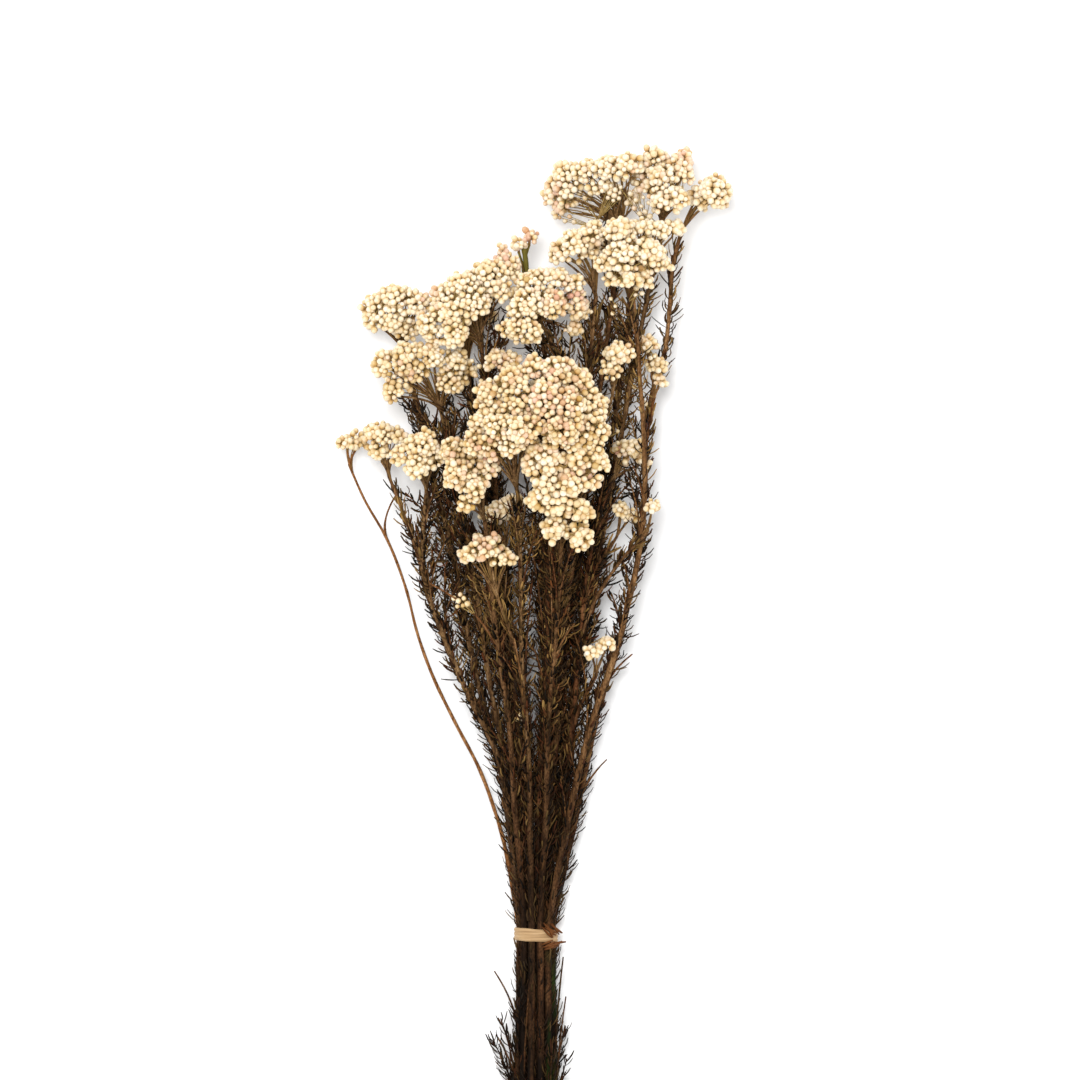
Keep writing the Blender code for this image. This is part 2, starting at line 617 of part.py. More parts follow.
def carry(head, lobes, line, rings, taken, owners):
    """The point that a tube's end runs out in under its head, and the branches that leave near the end."""
    made = bmesh.new()
    made.from_mesh(head.data)
    tree = BVHTree.FromBMesh(made)
    made.free()
    last = line[-1] - line[-2]
    ahead = sorted(sorted(lobes, key=lambda lobe: -lobe[3])[:MOST_BRANCHES],
                   key=lambda lobe: -unit(lobe[:3] - line[-1]) @ unit(last))
    point = seat_on(tree, line[-1], ahead[0][:3], taken, owners)
    if point is not None:
        taken.add(np.array((line[-1], point)), (BRANCH_RADIUS, POINT_RADIUS), NOBODY)
    branches = []
    segment = len(line) - 2
    for k, lobe in enumerate(ahead[1:]):
        share = 1 - (FIRST_BRANCH + BRANCH_STEP * k) / np.linalg.norm(last)
        middle = line[-2] + last * share
        way = unit(lobe[:3] - middle)
        side = max(range(len(rings[0])),
                   key=lambda j: unit(side_middle(rings, segment, j, share) - middle) @ way)
        root = side_middle(rings, segment, side, share)
        tip = seat_on(tree, root, lobe[:3], taken, owners)
        if tip is not None:
            branches.append(Spike(segment, side, share, tip))
            taken.add(np.array((root, tip)), (BRANCH_RADIUS + BRANCH_ROOM, POINT_RADIUS), NOBODY)
    return point, branches


def needles_on(line, rings, owner, taken, rng):
    """Needles in a spiral along a tube. One that would cross another piece is turned aside or left out."""
    lengths = np.linalg.norm(np.diff(line, axis=0), axis=1)
    reached = np.concatenate(([0], np.cumsum(lengths)))
    sides = len(rings[0])
    found = []
    for k, at in enumerate(np.arange(NEEDLE_STEP * 0.5, reached[-1] - 1, NEEDLE_STEP)):
        segment = min(int(np.searchsorted(reached, at, side="right")) - 1, len(lengths) - 1)
        room = NEEDLE_DEPTH / lengths[segment]
        share = float(np.clip((at - reached[segment]) / lengths[segment], room, 1 - room))
        length = NEEDLE_LENGTH * rng.uniform(*NEEDLE_LENGTHS)
        lean = NEEDLE_LEAN * rng.uniform(*NEEDLE_LEANS)
        middle = line[segment] + (line[segment + 1] - line[segment]) * share
        heading = unit(line[segment + 1] - line[segment])
        for aside in NEEDLE_ASIDE:
            side = (int(k * GOLDEN_ANGLE / (2 * math.pi) * sides) + aside) % sides
            root = side_middle(rings, segment, side, share)
            tip = root + (heading * math.cos(lean) + unit(root - middle) * math.sin(lean)) * length
            points = root + (tip - root) * np.linspace(0, 1, NEEDLE_POINTS)[:, None]
            off_tie = np.abs(points[:, 1]).min() > TIE_WIDTH / 2 + NEEDLE_TIE_GAP
            free = off_tie and points[:, 2].min() > NEEDLE_LEAST_UP
            if free and (taken.room(points, (owner,)) > NEEDLE_CLEARANCE).all():
                found.append(Spike(segment, side, share, tip))
                taken.add(np.array((root, tip)), (NEEDLE_WIDTH / 2, POINT_RADIUS), owner)
                break
    return found


def build_tie():
    """The flat band round the bundle."""
    outer = TIE_INNER_RADIUS + TIE_THICKNESS
    profile = [(TIE_INNER_RADIUS, -0.5), (outer, -0.5), (outer, 0.5), (TIE_INNER_RADIUS, 0.5)]
    made = bmesh.new()
    rings = []
    for k in range(TIE_SIDES):
        angle = 2 * math.pi * (k + 0.5) / TIE_SIDES - math.pi / 2
        rings.append([made.verts.new((r * math.cos(angle), s * TIE_WIDTH, TIE_UP + r * math.sin(angle)))
                      for r, s in profile])
    for k, ring in enumerate(rings):
        after = rings[(k + 1) % TIE_SIDES]
        for j in range(len(profile)):
            j2 = (j + 1) % len(profile)
            made.faces.new((ring[j], ring[j2], after[j2], after[j]))
    bmesh.ops.triangulate(made, faces=made.faces)
    bmesh.ops.recalc_face_normals(made, faces=made.faces)
    finish(solid(made), "tie_band", "tie")


def all_wood():
    """Every tube of wood: the stems, their side shoots and their twigs."""
    by_name = {stem.name: stem for stem in STEMS}
    woods = []
    for stem in STEMS:
        line = stem_line(stem)
        leafy = stem.name not in BARE_STEMS
        woods.append(Wood(line, stem_radii(stem, line), STEM_SIDES, stem.name, stem.name, leafy))
    for shoot in SHOOTS:
        line = side_line(by_name[shoot.stem], shoot.leaves_at, shoot.crown, SHOOT_SEGMENTS)
        radii = np.linspace(SHOOT_RADIUS, SHOOT_RADIUS * SHOOT_TAPER, len(line))
        woods.append(Wood(line, radii, SHOOT_SIDES, shoot.stem, shoot.name, True))
    for twig in TWIGS:
        line = side_line(by_name[twig.stem], twig.leaves_at, twig.tip, TWIG_SEGMENTS)
        radii = np.linspace(TWIG_RADIUS, TIP_RADIUS, len(line))
        woods.append(Wood(line, radii, TWIG_SIDES, twig.stem, None, False))
    return woods


def main():
    for ob in list(bpy.data.objects):
        bpy.data.objects.remove(ob)
    rng = np.random.default_rng(SEED)
    lobes = clear_lobes()
    stem_owner = {stem.name: k for k, stem in enumerate(STEMS)}
    head_owner = {carrier.name: len(STEMS) + k for k, carrier in enumerate(STEMS + SHOOTS)}
    woods = all_wood()
    taken = Taken()
    for wood in woods:
        taken.add(wood.line, wood.radii, stem_owner[wood.stem])

    heads = {}
    for carrier in STEMS + SHOOTS:
        name = carrier.name
        heads[name] = build_head(name, lobes[name], np.array(carrier.crown, float), rng)
        for lobe in lobes[name]:
            outer = lobe[3] + BUD_HEIGHT - BUD_FOOT
            taken.add(np.array((lobe[:3], lobe[:3])), (outer, outer), head_owner[name])

    rings = [rings_of(wood.line, wood.radii, wood.sides) for wood in woods]
    carried = []
    for wood, around in zip(woods, rings):
        if wood.head:
            owners = (stem_owner[wood.stem], head_owner[wood.head], NOBODY)
            carried.append(carry(heads[wood.head], lobes[wood.head], wood.line, around, taken, owners))
        else:
            carried.append((None, []))

    parts = {stem.name: [] for stem in STEMS}
    for wood, around, (point, branches) in zip(woods, rings, carried):
        needles = needles_on(wood.line, around, stem_owner[wood.stem], taken, rng) if wood.leafy else []
        parts[wood.stem].append(solid(tube(around, branches + needles, point)))
    for name, pieces in parts.items():
        stem = fuse(pieces[0], pieces[1:])
        press_flat(stem)
        finish(stem, f"stem_{name}", "stem")
    build_tie()


main()
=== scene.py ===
"""A tied bunch of dried rice flower, in finer pieces that stand for its solids.

A head is a skin of single buds on thin stalks, a stem is bark with side shoots and dense needle leaves,
and the tie is a ribbed ribbon. Places are in millimetres: (across, along, up), counted from the middle
of the tie, apart from up, which is the height over the surface.
"""

import math
from collections import namedtuple
from itertools import combinations, product

import bpy
import numpy as np
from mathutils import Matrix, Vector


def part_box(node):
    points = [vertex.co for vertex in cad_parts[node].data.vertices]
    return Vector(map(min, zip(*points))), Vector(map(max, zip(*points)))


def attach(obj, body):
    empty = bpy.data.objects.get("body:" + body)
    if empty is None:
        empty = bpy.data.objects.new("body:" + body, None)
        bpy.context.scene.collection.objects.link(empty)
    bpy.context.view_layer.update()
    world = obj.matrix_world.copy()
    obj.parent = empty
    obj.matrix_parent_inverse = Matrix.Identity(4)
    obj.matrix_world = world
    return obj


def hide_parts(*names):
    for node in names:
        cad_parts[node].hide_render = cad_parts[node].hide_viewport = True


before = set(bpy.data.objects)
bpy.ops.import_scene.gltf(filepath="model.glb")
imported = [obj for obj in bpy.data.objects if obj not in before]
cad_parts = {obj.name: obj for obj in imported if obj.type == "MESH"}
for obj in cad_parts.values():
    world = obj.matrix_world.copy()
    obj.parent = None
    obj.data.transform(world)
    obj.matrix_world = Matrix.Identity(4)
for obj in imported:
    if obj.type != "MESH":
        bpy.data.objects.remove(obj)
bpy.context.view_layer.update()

MM = 0.001
SEED = 11
TINY = 1e-12
GOLDEN_ANGLE = math.pi * (3 - math.sqrt(5))
NEARLY_UPRIGHT = 0.9
RIPPLES = ((1.7, 0.63, 1.1), (1.3, 0.71, 2.3), (1.9, 0.57, 0.4))  # swing, rate and shift of each wave

# The plan of the stems, in millimetres
TIE_LOW, TIE_HIGH = (np.array(corner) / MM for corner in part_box("tie_band"))
TIE_PLACE = (TIE_LOW + TIE_HIGH) / 2
TIE_UP = TIE_PLACE[2]
TIE_RADIUS = (TIE_HIGH[0] - TIE_LOW[0]) / 2
TIE_WIDTH = TIE_HIGH[1] - TIE_LOW[1]
GRIP = 6.0  # the stems run straight this far from the tie's middle
CUT_END, CUT_END_UP = -116.0, 12.45
FLARE, FLARE_POWER = 0.22, 1.5
RING_RADII = (0.0, 4.55, 9.15)
STEM_RADIUS, CROWN_RADIUS = 2.0, 1.15
LONE_STEM = "outer_left"  # slim, and with no leafy shoots
SLIM_FROM, SLIM_SHARE = 60.0, 0.58
START_OF_FAN = 0.10
WIGGLE, WIGGLE_LENGTH, WIGGLE_SKEW = 1.3, 150.0, 1.3
SIDE_BEND = 0.45
AHEAD = 5.0
LOBE_GAP = -3.4  # the skins of different heads run into each other a little

# A head is made of lobes: across, along, up and radius
Stem = namedtuple("Stem", "name ring angle crown lobes")
Shoot = namedtuple("Shoot", "name stem leaves_at crown lobes")

STEMS = [
    Stem("top_left", 1, 270, (47, 388, 30), [(10, 409, 26, 7.5), (18, 418, 32, 9.5), (16, 401, 27, 6.5),
        (29, 419, 38, 8.5), (35, 411, 40, 6.5), (41, 421, 44, 9), (51, 422, 54, 8), (43, 408, 27, 6.5),
        (52, 405, 31, 6.5), (18, 409, 33, 7)]),
    Stem("top", 1, 330, (69, 390, 38), [(65, 426, 42, 8), (78, 419, 46, 9), (81, 428, 40, 5.5),
        (69, 415, 51, 8.5), (61, 412, 42, 7), (70, 404, 55, 8), (79, 405, 55, 6.5), (58, 419, 40, 6.5)]),
    Stem("top_right", 2, 345, (80, 388, 34), [(97, 408, 42, 10.5), (88, 405, 39, 6.5)]),
    Stem("upper_left", 1, 30, (33, 352, 44), [(14, 375, 52, 7.5), (22, 380, 58, 9.5), (32, 384, 58, 8.5),
        (30, 375, 54, 6.5)]),
    Stem("upper", 2, 45, (53, 352, 52.5), [(45, 386, 72, 8.5), (38, 369, 68, 7), (48, 373, 72, 9.5),
        (57, 386, 62, 8), (61, 374, 70, 9), (68, 370, 64, 6.5), (51, 361, 76, 6), (66, 387, 60, 7),
        (76, 388, 52, 6), (43, 360, 67, 5), (59, 361, 66, 5.5)]),
    Stem("left_upper", 1, 210, (-30, 325, 42), [(-50, 350, 56, 8.5), (-39, 355, 60, 10),
        (-26, 361, 58, 10.5), (-17, 366, 52, 9), (-20, 354, 63, 7), (-34, 346, 66, 9), (-47, 342, 66, 8.5),
        (-57, 336, 62, 8.5), (-44, 331, 68, 8.5), (-18, 375, 52, 4.5), (-55, 328, 60, 6.5)]),
    Stem("mid_upper", 0, 0, (2, 338, 49), [(-2, 358, 62, 9), (9, 358, 60, 10), (19, 356, 60, 8),
        (8, 347, 69, 8.5), (22, 345, 58, 7.5), (-6, 346, 71, 9), (-11, 334, 73, 8), (-3, 331, 74, 6.5),
        (20, 334, 52, 4.5), (-9, 352, 57, 5.5)]),
    Stem("left_far", 2, 225, (-72, 320, 26), [(-88, 345, 34, 8.5), (-77, 349, 38, 10), (-67, 347, 40, 9),
        (-79, 338, 41, 7), (-71, 333, 37, 7.5), (-87, 338, 36, 5.5)]),
    Stem("left", 1, 150, (-52, 288, 38), [(-80, 314, 50, 9.5), (-69, 317, 56, 10), (-77, 300, 54, 7.5),
        (-57, 317, 59, 8.5), (-47, 304, 52, 8.5), (-44, 316, 56, 7), (-68, 308, 54, 7.5),
        (-37, 310, 50, 5)]),
    Stem("dome", 1, 90, (10, 262, 62), [(-24, 297, 86, 9), (-12, 303, 90, 9.5), (0, 309, 88, 9.5),
        (12, 309, 87, 9.5), (22, 303, 86, 9.5), (31, 292, 85, 8.5), (-10, 293, 95, 8), (4, 295, 97, 10.5),
        (18, 290, 97, 10), (30, 279, 91, 9.5), (14, 278, 101, 10), (-27, 289, 85, 6), (-17, 287, 90, 6.5),
        (-5, 286, 94, 6.5), (8, 271, 94, 6.5), (20, 270, 95, 6.5), (31, 270, 89, 6)]),
    Stem("front_left", 2, 105, (-10, 244, 66), [(-30, 281, 88, 8.5), (-20, 279, 98, 8.5), (-33, 271, 90, 7),
        (-23, 268, 92, 8.5), (-10, 277, 105, 8), (-13, 269, 97, 7), (-2, 279, 101, 7)]),
    Stem("front_low", 2, 75, (14, 216, 56), [(8, 262, 90, 9), (22, 262, 90, 9.5), (33, 260, 86, 7.5),
        (-3, 257, 88, 6), (6, 247, 88, 8), (18, 248, 90, 9), (28, 250, 85, 6.5), (1, 239, 85, 6.5),
        (12, 237, 86, 8), (24, 233, 84, 7.5), (10, 223, 80, 7.5), (24, 219, 80, 7.5), (0, 265, 90, 7)]),
    Stem("mid_left", 2, 165, (-60, 245, 52), [(-62, 269, 68, 9), (-72, 264, 64, 8), (-64, 257, 70, 7),
        (-55, 264, 64, 7)]),
    Stem("mid", 2, 135, (-28, 228, 56), [(-46, 266, 76, 7.5), (-36, 261, 74, 8.5), (-42, 253, 81, 8.5),
        (-27, 257, 78, 7.5), (-34, 246, 83, 8), (-37, 237, 80, 5.5)]),
    Stem("outer_left", 2, 195, (-103, 259, 20), [(-104, 271, 24, 6), (-98, 272, 22, 5)]),
    Stem("right", 2, 15, (41, 250, 35), [(53, 267, 39, 7.5), (59, 261, 38, 4.5), (46, 266, 38, 5.5)]),
    Stem("back_mid", 2, 285, (17, 266, 12), [(4, 298, 9.6, 10.5), (19, 302, 10, 11), (29, 291, 11, 7.5)]),
    Stem("back_left", 2, 255, (-38, 318, 12), [(-49, 344, 9.2, 10), (-35, 351, 10, 11),
        (-31, 341, 13, 8.5)]),
    Stem("back_right", 2, 315, (52, 344, 13), [(44, 377, 9.6, 10.5), (60, 372, 10, 11)]),
]

SHOOTS = [
    Shoot("outer", "mid_left", 188, (-81, 253, 33), [(-89, 276, 36, 6.5), (-82, 274, 37, 8),
        (-86, 265, 37, 6), (-75, 273, 40, 5)]),
    Shoot("sprig", "mid_upper", 225, (-7, 366, 36), [(-3, 384, 40, 5), (-10, 379, 42, 4.5)]),
    Shoot("behind", "left_upper", 230, (-15, 298, 52), [(-22, 316, 64, 6.5), (-14, 316, 63, 5.5)]),
    Shoot("low", "front_left", 130, (-21, 186, 54), [(-36, 209, 62, 6.5), (-26, 212, 66, 7),
        (-17, 207, 64, 6.5), (-22, 218, 64, 4.5), (-31, 218, 63, 4)]),
    Shoot("low_back", "left", 150, (-17, 212, 36), [(-14, 236, 46, 8), (-22, 232, 45, 7)]),
    Shoot("right_upper", "upper_left", 205, (42, 297, 50), [(45, 319, 63, 8), (41, 310, 62, 5.5)]),
    Shoot("right_edge", "top_right", 256, (65, 296, 34), [(61, 324, 38, 6.5), (66, 313, 38, 6),
        (68, 305, 36, 4.5)]),
    Shoot("right_low", "right", 165, (44, 219, 34), [(47, 234, 40, 6), (52, 231, 38, 4.5)]),
    Shoot("right_tiny", "right", 150, (61, 222, 54), [(63.5, 235, 57, 5)]),
    Shoot("lowest", "right", 105, (33, 143, 36), [(31, 156, 42, 5), (39, 161, 43, 5)]),
    Shoot("back_low", "back_left", 190, (-40, 230, 10), [(-46, 264, 9.6, 10.3), (-43, 251, 9.4, 9.5)]),
]

# Places that some stems pass through, from the tie to their crown
COURSES = {
    "top": [(16, 100, 14.5), (31, 190, 18.5), (46, 270, 21.5), (57, 330, 26)],
    "top_right": [(18.5, 50, 15.5), (25, 80, 17), (31, 110, 18.5), (38, 137, 20), (44, 155, 20.5),
        (52.5, 190, 21), (57, 212, 21.5), (60, 245, 22), (61, 284, 24), (65, 303, 26), (70.5, 320, 28),
        (73.5, 345, 30), (75.5, 370, 32)],
    "upper": [(17, 60, 24), (24, 92, 27), (34, 128, 30), (44, 157, 33), (49.5, 178, 35), (53.5, 195, 38),
        (57, 213, 42), (59.5, 240, 48), (59.5, 262, 51), (58.5, 287, 52), (57, 305, 52), (55, 334, 52)],
    "mid_upper": [(5, 120, 21), (10, 190, 29), (14, 250, 37), (17, 290, 43), (14, 316, 46)],
    "mid_left": [(-14, 55, 20), (-22, 101, 27), (-37, 132, 33), (-50, 163, 38), (-58.5, 185, 42),
        (-62.5, 210, 46), (-61.5, 230, 49.5)],
    "outer_left": [(-21, 63, 13), (-31, 91, 15), (-45, 118, 16.5), (-57, 143, 17.5), (-65, 165, 18),
        (-72, 192, 18.5), (-83, 220, 19), (-94, 239, 19.5)],
    "right": [(19, 100, 21), (27, 190, 30), (32, 222, 33)],
}

# Twigs, by the stem that they leave: how far along it, and their tips
TWIGS = {
    "top_right": [(133, 53, 155, 30), (70, 39, 97, 25), (-114, 16.5, -34, 15)],
    "outer_left": [(217, -77, 243, 20), (-60, -23, -20, 14), (-84, -21, -46, 9)],
    "mid_left": [(-92, -22, -55, 18)],
    "mid": [(150, -58, 194, 57), (150, -4, 179, 56), (-112, -4, -30, 24)],
    "dome": [(116, 8, 168, 44)],
    "front_low": [(146, 21, 172, 54)],
    "front_left": [(126, -12, 164, 58)],
    "right": [(-96, 15, -12, 19)],
}
# Thin leafy shoots that end in no head, in the same way
SPRAYS = {
    "left": [(248, -66, 291, 44), (240, -44, 289, 44), (232, -58, 283, 46), (244, -38, 279, 40),
        (178, -48, 226, 38), (146, -35, 186, 32), (205, -46, 246, 42), (252, -50, 297, 44),
        (226, -48, 272, 40), (150, -50, 244, 34)],
    "left_far": [(262, -73, 296, 30), (250, -64, 290, 26), (168, -62, 222, 24), (198, -72, 244, 26),
        (142, -48, 188, 22), (222, -58, 262, 28), (176, -58, 240, 22)],
    "left_upper": [(298, -24, 344, 50), (290, -17, 337, 48), (240, -40, 300, 40), (225, -36, 280, 42),
        (262, -44, 308, 40), (118, -16, 206, 30), (285, -12, 337, 46), (276, -21, 335, 44)],
    "mid_upper": [(296, -14, 345, 54), (288, 9, 337, 54), (282, 19, 331, 50), (128, -5, 250, 34),
        (110, 3, 205, 26), (280, -4, 339, 48), (268, -10, 333, 42), (290, 3, 341, 50)],
    "upper_left": [(296, 24, 338, 46), (284, 27, 328, 50), (312, 29, 352, 46), (150, 22, 232, 40),
        (270, 36, 332, 40)],
    "top": [(304, 36, 350, 28), (340, 60, 392, 40), (280, 51, 343, 30)],
    "top_left": [(312, 24, 354, 32), (350, 34, 394, 34), (120, -1, 180, 20), (290, 31, 347, 26)],
    "upper": [(300, 44, 346, 58), (312, 50, 348, 62), (-108, 9, -58, 25), (96, -1, 214, 40)],
    "mid_left": [(176, -50, 216, 54), (196, -71, 229, 46), (210, -55, 247, 58), (158, -42, 196, 46),
        (-104, -24, -58, 17), (-98, -19.5, -46, 18), (-90, -9, -36, 24), (140, -50, 204, 44)],
    "mid": [(176, -42, 226, 62), (184, -22, 230, 64), (150, -30, 196, 48), (120, -15, 212, 50)],
    "front_left": [(196, -14, 240, 74), (204, -4, 244, 72), (108, -2, 196, 58)],
    "front_low": [(176, 20, 214, 62), (168, 8, 212, 62), (118, 1, 236, 52), (126, 6, 226, 60)],
    "dome": [(214, 0, 262, 70), (220, 20, 264, 70), (-104, 3, -50, 26), (112, -4, 222, 56)],
    "right": [(206, 50, 248, 42), (214, 38, 254, 44), (176, 40, 214, 40), (140, 34, 174, 34),
        (-112, 17, -68, 20)],
    "outer_left": [(-100, -20, -67, 11)],
    "top_right": [(-100, 16, -50, 12)],
    "back_mid": [(110, -2, 226, 14)],
    "back_left": [(130, -12, 230, 12), (250, -52, 300, 12)],
    "back_right": [(288, 40, 342, 16), (276, 47, 334, 14)],
}
# Buds apart from the lobes of the head that they belong to
LOOSE_BUDS = {
    "right_edge": [(54, 302, 40), (60, 293, 40)],
    "right": [(44.8, 277.5, 42)],
    "upper": [(55, 356, 62), (58, 353, 62), (54.5, 352, 60), (41, 350, 60), (43.5, 346, 59), (42, 342, 58)],
    "mid_upper": [(24, 350, 56), (28, 348, 55), (26, 344, 54), (30, 343, 54), (16, 333, 55), (19.5, 331, 55),
        (22, 334, 54)],
    "behind": [(-35, 316, 58), (-31, 313, 60), (-33, 308, 58), (-30, 305, 57), (-8, 311, 62), (-11, 308, 61),
        (-14, 311, 62)],
    "low": [(-42.5, 184.5, 52), (-40, 182, 53), (-39.5, 186, 54), (-8.5, 122, 39), (-7, 119.5, 38),
        (-10.5, 119.5, 38), (-43, 181.5, 51), (-37.5, 183, 52), (-41.5, 188, 52), (-45, 186, 51)],
    "top": [(52, 408, 43), (55, 404.5, 44), (58, 401, 45), (55.5, 411, 42), (60, 398, 46), (62, 403, 46),
        (65, 399, 46), (57, 397, 45), (50, 403, 41), (59, 406, 44), (54, 400, 43), (62.5, 395.5, 46)],
    "top_left": [(10, 398, 25), (13, 395.5, 26), (16, 393.5, 27), (12.5, 400, 26), (18.5, 396, 27),
        (21, 393, 27), (24, 409, 32), (27, 406, 32), (23, 405, 31), (38.5, 410.5, 44), (41, 412, 45),
        (43.5, 410, 46), (46.5, 411.5, 46), (40.5, 408.5, 44), (43, 407, 45), (46, 408.5, 45),
        (42.5, 404.3, 43), (45.5, 405.5, 44), (39.5, 405.8, 43)],
}

# Buds and stalks, in millimetres
BUD_SIZE = 3.5
BUD_SIZES = {"front_low": 4.0, "dome": 3.6, "mid": 3.6, "right_upper": 3.7, "top": 3.7, "top_left": 3.7,
             "top_right": 3.7, "upper": 3.7, "upper_left": 3.7}
BUD_SPREAD = (0.72, 1.2)  # of the sizes in one head
BUD_CLOSENESS = 0.79  # between neighbours, as a share of the bud size
BUD_LENGTH = 1.06  # over the bud's width
BUD_STRETCH = (0.88, 1.16)
BUD_TIP, BUD_RIDGE, BUD_FOOT = 0.02, 0.05, 0.3
BUD_TONE = (0.6, 0.2)
TONE_RIPPLE, TONE_RIPPLE_LENGTH = 0.2, 31.0
UPPER_FROM, UPPER_TO = 310.0, 380.0  # the buds grow paler from here to there
UPPER_TONE = 0.28
PINK_SHARE, PINK_STRAY, PINKEST = (0.2, 1.4), (-0.9, 0.25), 0.9
BUD_STRAY, BUD_TURN = 0.6, 0.22
BUD_REACH = math.radians(105)  # buds cover a lobe this far round from its top
BLEND = 0.75  # how sharply a head's lobes are creased where they meet
SEED_STEP = 0.8  # between the places that a bud may take
SETTLE_STEPS = 5
LOBE_OVERLAP = 3.5
UMBEL_STEP = 9.5  # between the small umbels that make up a head's skin
UMBEL_RISE = 1.5  # of an umbel's middle over its rim
UMBEL_TILT = 0.45  # how far the buds at its rim lean outward
UMBEL_EDGE = 1.3  # half widths: the buds farther out sink no more
UMBEL_DEPTH = 5.5  # from the buds to the point where their stalks meet
SKIN_DEPTH = -1.7  # of the middles of the outer buds, under the lobes' surface
INNER_DEPTH = -3.7  # of the buds that fill in under them
INNER_CLOSENESS = 1.04
INNER_SHARE, INNER_SHADED_PALENESS = 1.18, 0.9  # of an outer bud's size and paleness; their lower paleness is painted shade, as they lie under the outer buds
FLOOR_ROOM = 2.95  # the lowest height of a bud's middle
# Loose buds are a little smaller, and their lower paleness is painted shade
LOOSE_SIZE, LOOSE_SHADED_PALENESS = 0.85, 0.9
LOOSE_WAY = (0.0, 0.0, 1.2)  # how far a loose bud turns up
LOOSE_STALK = 4.0  # at least, from a loose bud down the bunch to its stalk's start
STALK_RADII, STALK_SIDES = (0.32, 0.24), 3
STALK_SEAT = 0.45  # a stalk's end from its bud's middle, in bud sizes
BRANCH_RADII = (0.95, 0.6)  # of the branches from a crown to its lobes
BRANCH_POINTS, BRANCH_BEND = 7, 0.35
RIB_RADII, RIB_SIDES = (0.48, 0.3), 4  # of the thin ones from there to the umbels
RIB_BEND = 0.4
LONG_RIB_POINTS, LONG_RIB_BEND = 9, 0.45
RIB_BACK = 9.0  # some ribs leave the stem this far under its end
# How far the stalks are from brown to green: at the start, and how much more at the end
SHORT_RIB_RISE, LONG_RIB_RISE, STALK_RISE = (0.2, 0.35), (0.0, 0.5), (0.55, 0.45)
FLOOR_MARGIN = 1.3
LOBE_ROOT = 0.75  # a lobe's branches part this share of its radius under its middle

# Bark and needle leaves, in millimetres and degrees
BARK_STEP = 5.0
BARK_SIDES = {"stem": 10, "shoot": 8, "spray": 5, "branch": 5, "twig": 6}
BARK_FACING = np.array(((0.1, 0.0, 1.0),))
BARK_KNOTS, KNOT_LENGTH = 0.10, 17.0  # the bark swells by this share of the radius
BARK_ROUGHNESS = 0.05
BARK_FLOOR = 0.05
# The points along each kind of side wood, and its radii where it leaves its stem and at its tip
SIDE_WOODS = {"shoot": (16, (1.1, 1.1 * 0.8)), "twig": (10, (0.75, 0.42)), "spray": (10, (0.75, 0.35))}
SPRAY_STEP = 26.0  # between the sprays along every leafy stem
SPRAY_FROM, SPRAY_TO = 22.0, 235.0
SPRAY_LENGTHS, SPRAY_RISES = (26.0, 48.0), (-5.0, 8.0)
SPRAY_SWAY = 11.0  # how far its tip is off the stem, across
SPRAY_INSIDE = 0.15  # those farther out than this share of their height turn inward
NEEDLE_STEPS = {"stem": 0.75, "shoot": 0.75, "spray": 0.85}
NEEDLE_TAPER = np.array((0.6, 1.0, 1.0, 0.6))  # its width along the needle
NEEDLE_SIDES, NEEDLE_FLATNESS = 3, 0.45
NEEDLE_LENGTH, NEEDLE_LENGTHS = 8.8, (0.6, 1.25)
NEEDLE_WIDTH, NEEDLE_WIDTHS = 1.6, (0.75, 1.2)
NEEDLE_LEAN, LEAN_LIMITS = (72.0, 14.0), (12, 80)  # where a needle leaves its stem
NEEDLE_CURL = (-68.0, 18.0)  # from there to its tip: it turns up along the stem
NEEDLE_TURN, NEEDLE_ASIDE = 0.4, 0.16
NEEDLE_SEAT = 0.7  # of the stem's radius
NEEDLE_FLOOR = 1.0
NEEDLES_IN_FRONT, FRONT_RISE = 0.3, 0.45  # the share left of those that would hide their stem
BARE_CROWN = 9.0  # no needles this close under a stem's end
LOBE_ROOM = 0.3
PRESSED_REACH = 42.0  # this far under a crown the needles lie closer to their stem
PRESSED_LEAN, PRESSED_TONE = 0.55, 0.30
TIED_LEAN, TIED_IN_FRONT, TIED_WIDTH = 0.3, 0.6, 0.72  # the same where the bunch is tied
TIED_TONE, TIED_RUST = 0.12, 0.16
LEFT_BELOW_TIE = 0.7  # the share of needles left there
TIE_ROOM = 3.0
TIE_LEAD = 2.5  # more room below it, because needles there grow towards it
NEEDLE_TONE, NEEDLE_RUST = (0.38, 0.27), (-0.05, 0.3)
CUT_THICKNESS, CUT_SHARE = 0.25, 0.93
MOSSY_ANGLES = (15, 45, 330)  # stems at these places in the tie are a little green near it
MOSS_MIDDLE, MOSS_REACH = -65.0, 60.0

# Stretches of stems with few needles: from, to, and the share that is left
THIN_STRETCHES = {"upper": (100, 345, 0.4), "top_right": (90, 300, 0.22), "outer_left": (-200, 400, 0.0)}
NO_STRETCH = (0, 0, 1)
BARE_BARK = {"outer_left": 1.0, "upper": 0.3, "top_right": 0.3}
TWIG_BARENESS = 0.35
TINTS, BRANCH_TINTS = (0.0, 0.95), (0.75, 1.0)  # from dark bark to greyish tan bark
PALE_RIPPLE, PALE_RIPPLE_LENGTH = 0.12, 43.0
# Wood and leaves are darker in the bundle, with painted shade: where that starts along the bunch, where it
# ends, how much
DARK_FROM, DARK_TO = 180.0, 20.0
DARKEST_FROM, DARKEST_TO, ABOVE_TIE_DARKNESS = 5.0, -25.0, 0.9
BARK_PAINTED_SHADE, NEEDLE_PAINTED_SHADE = 0.98, 0.75
TIED_TINT = 0.65  # how much redder and darker the bark is there: the red is its own colour, the darkening is painted shade
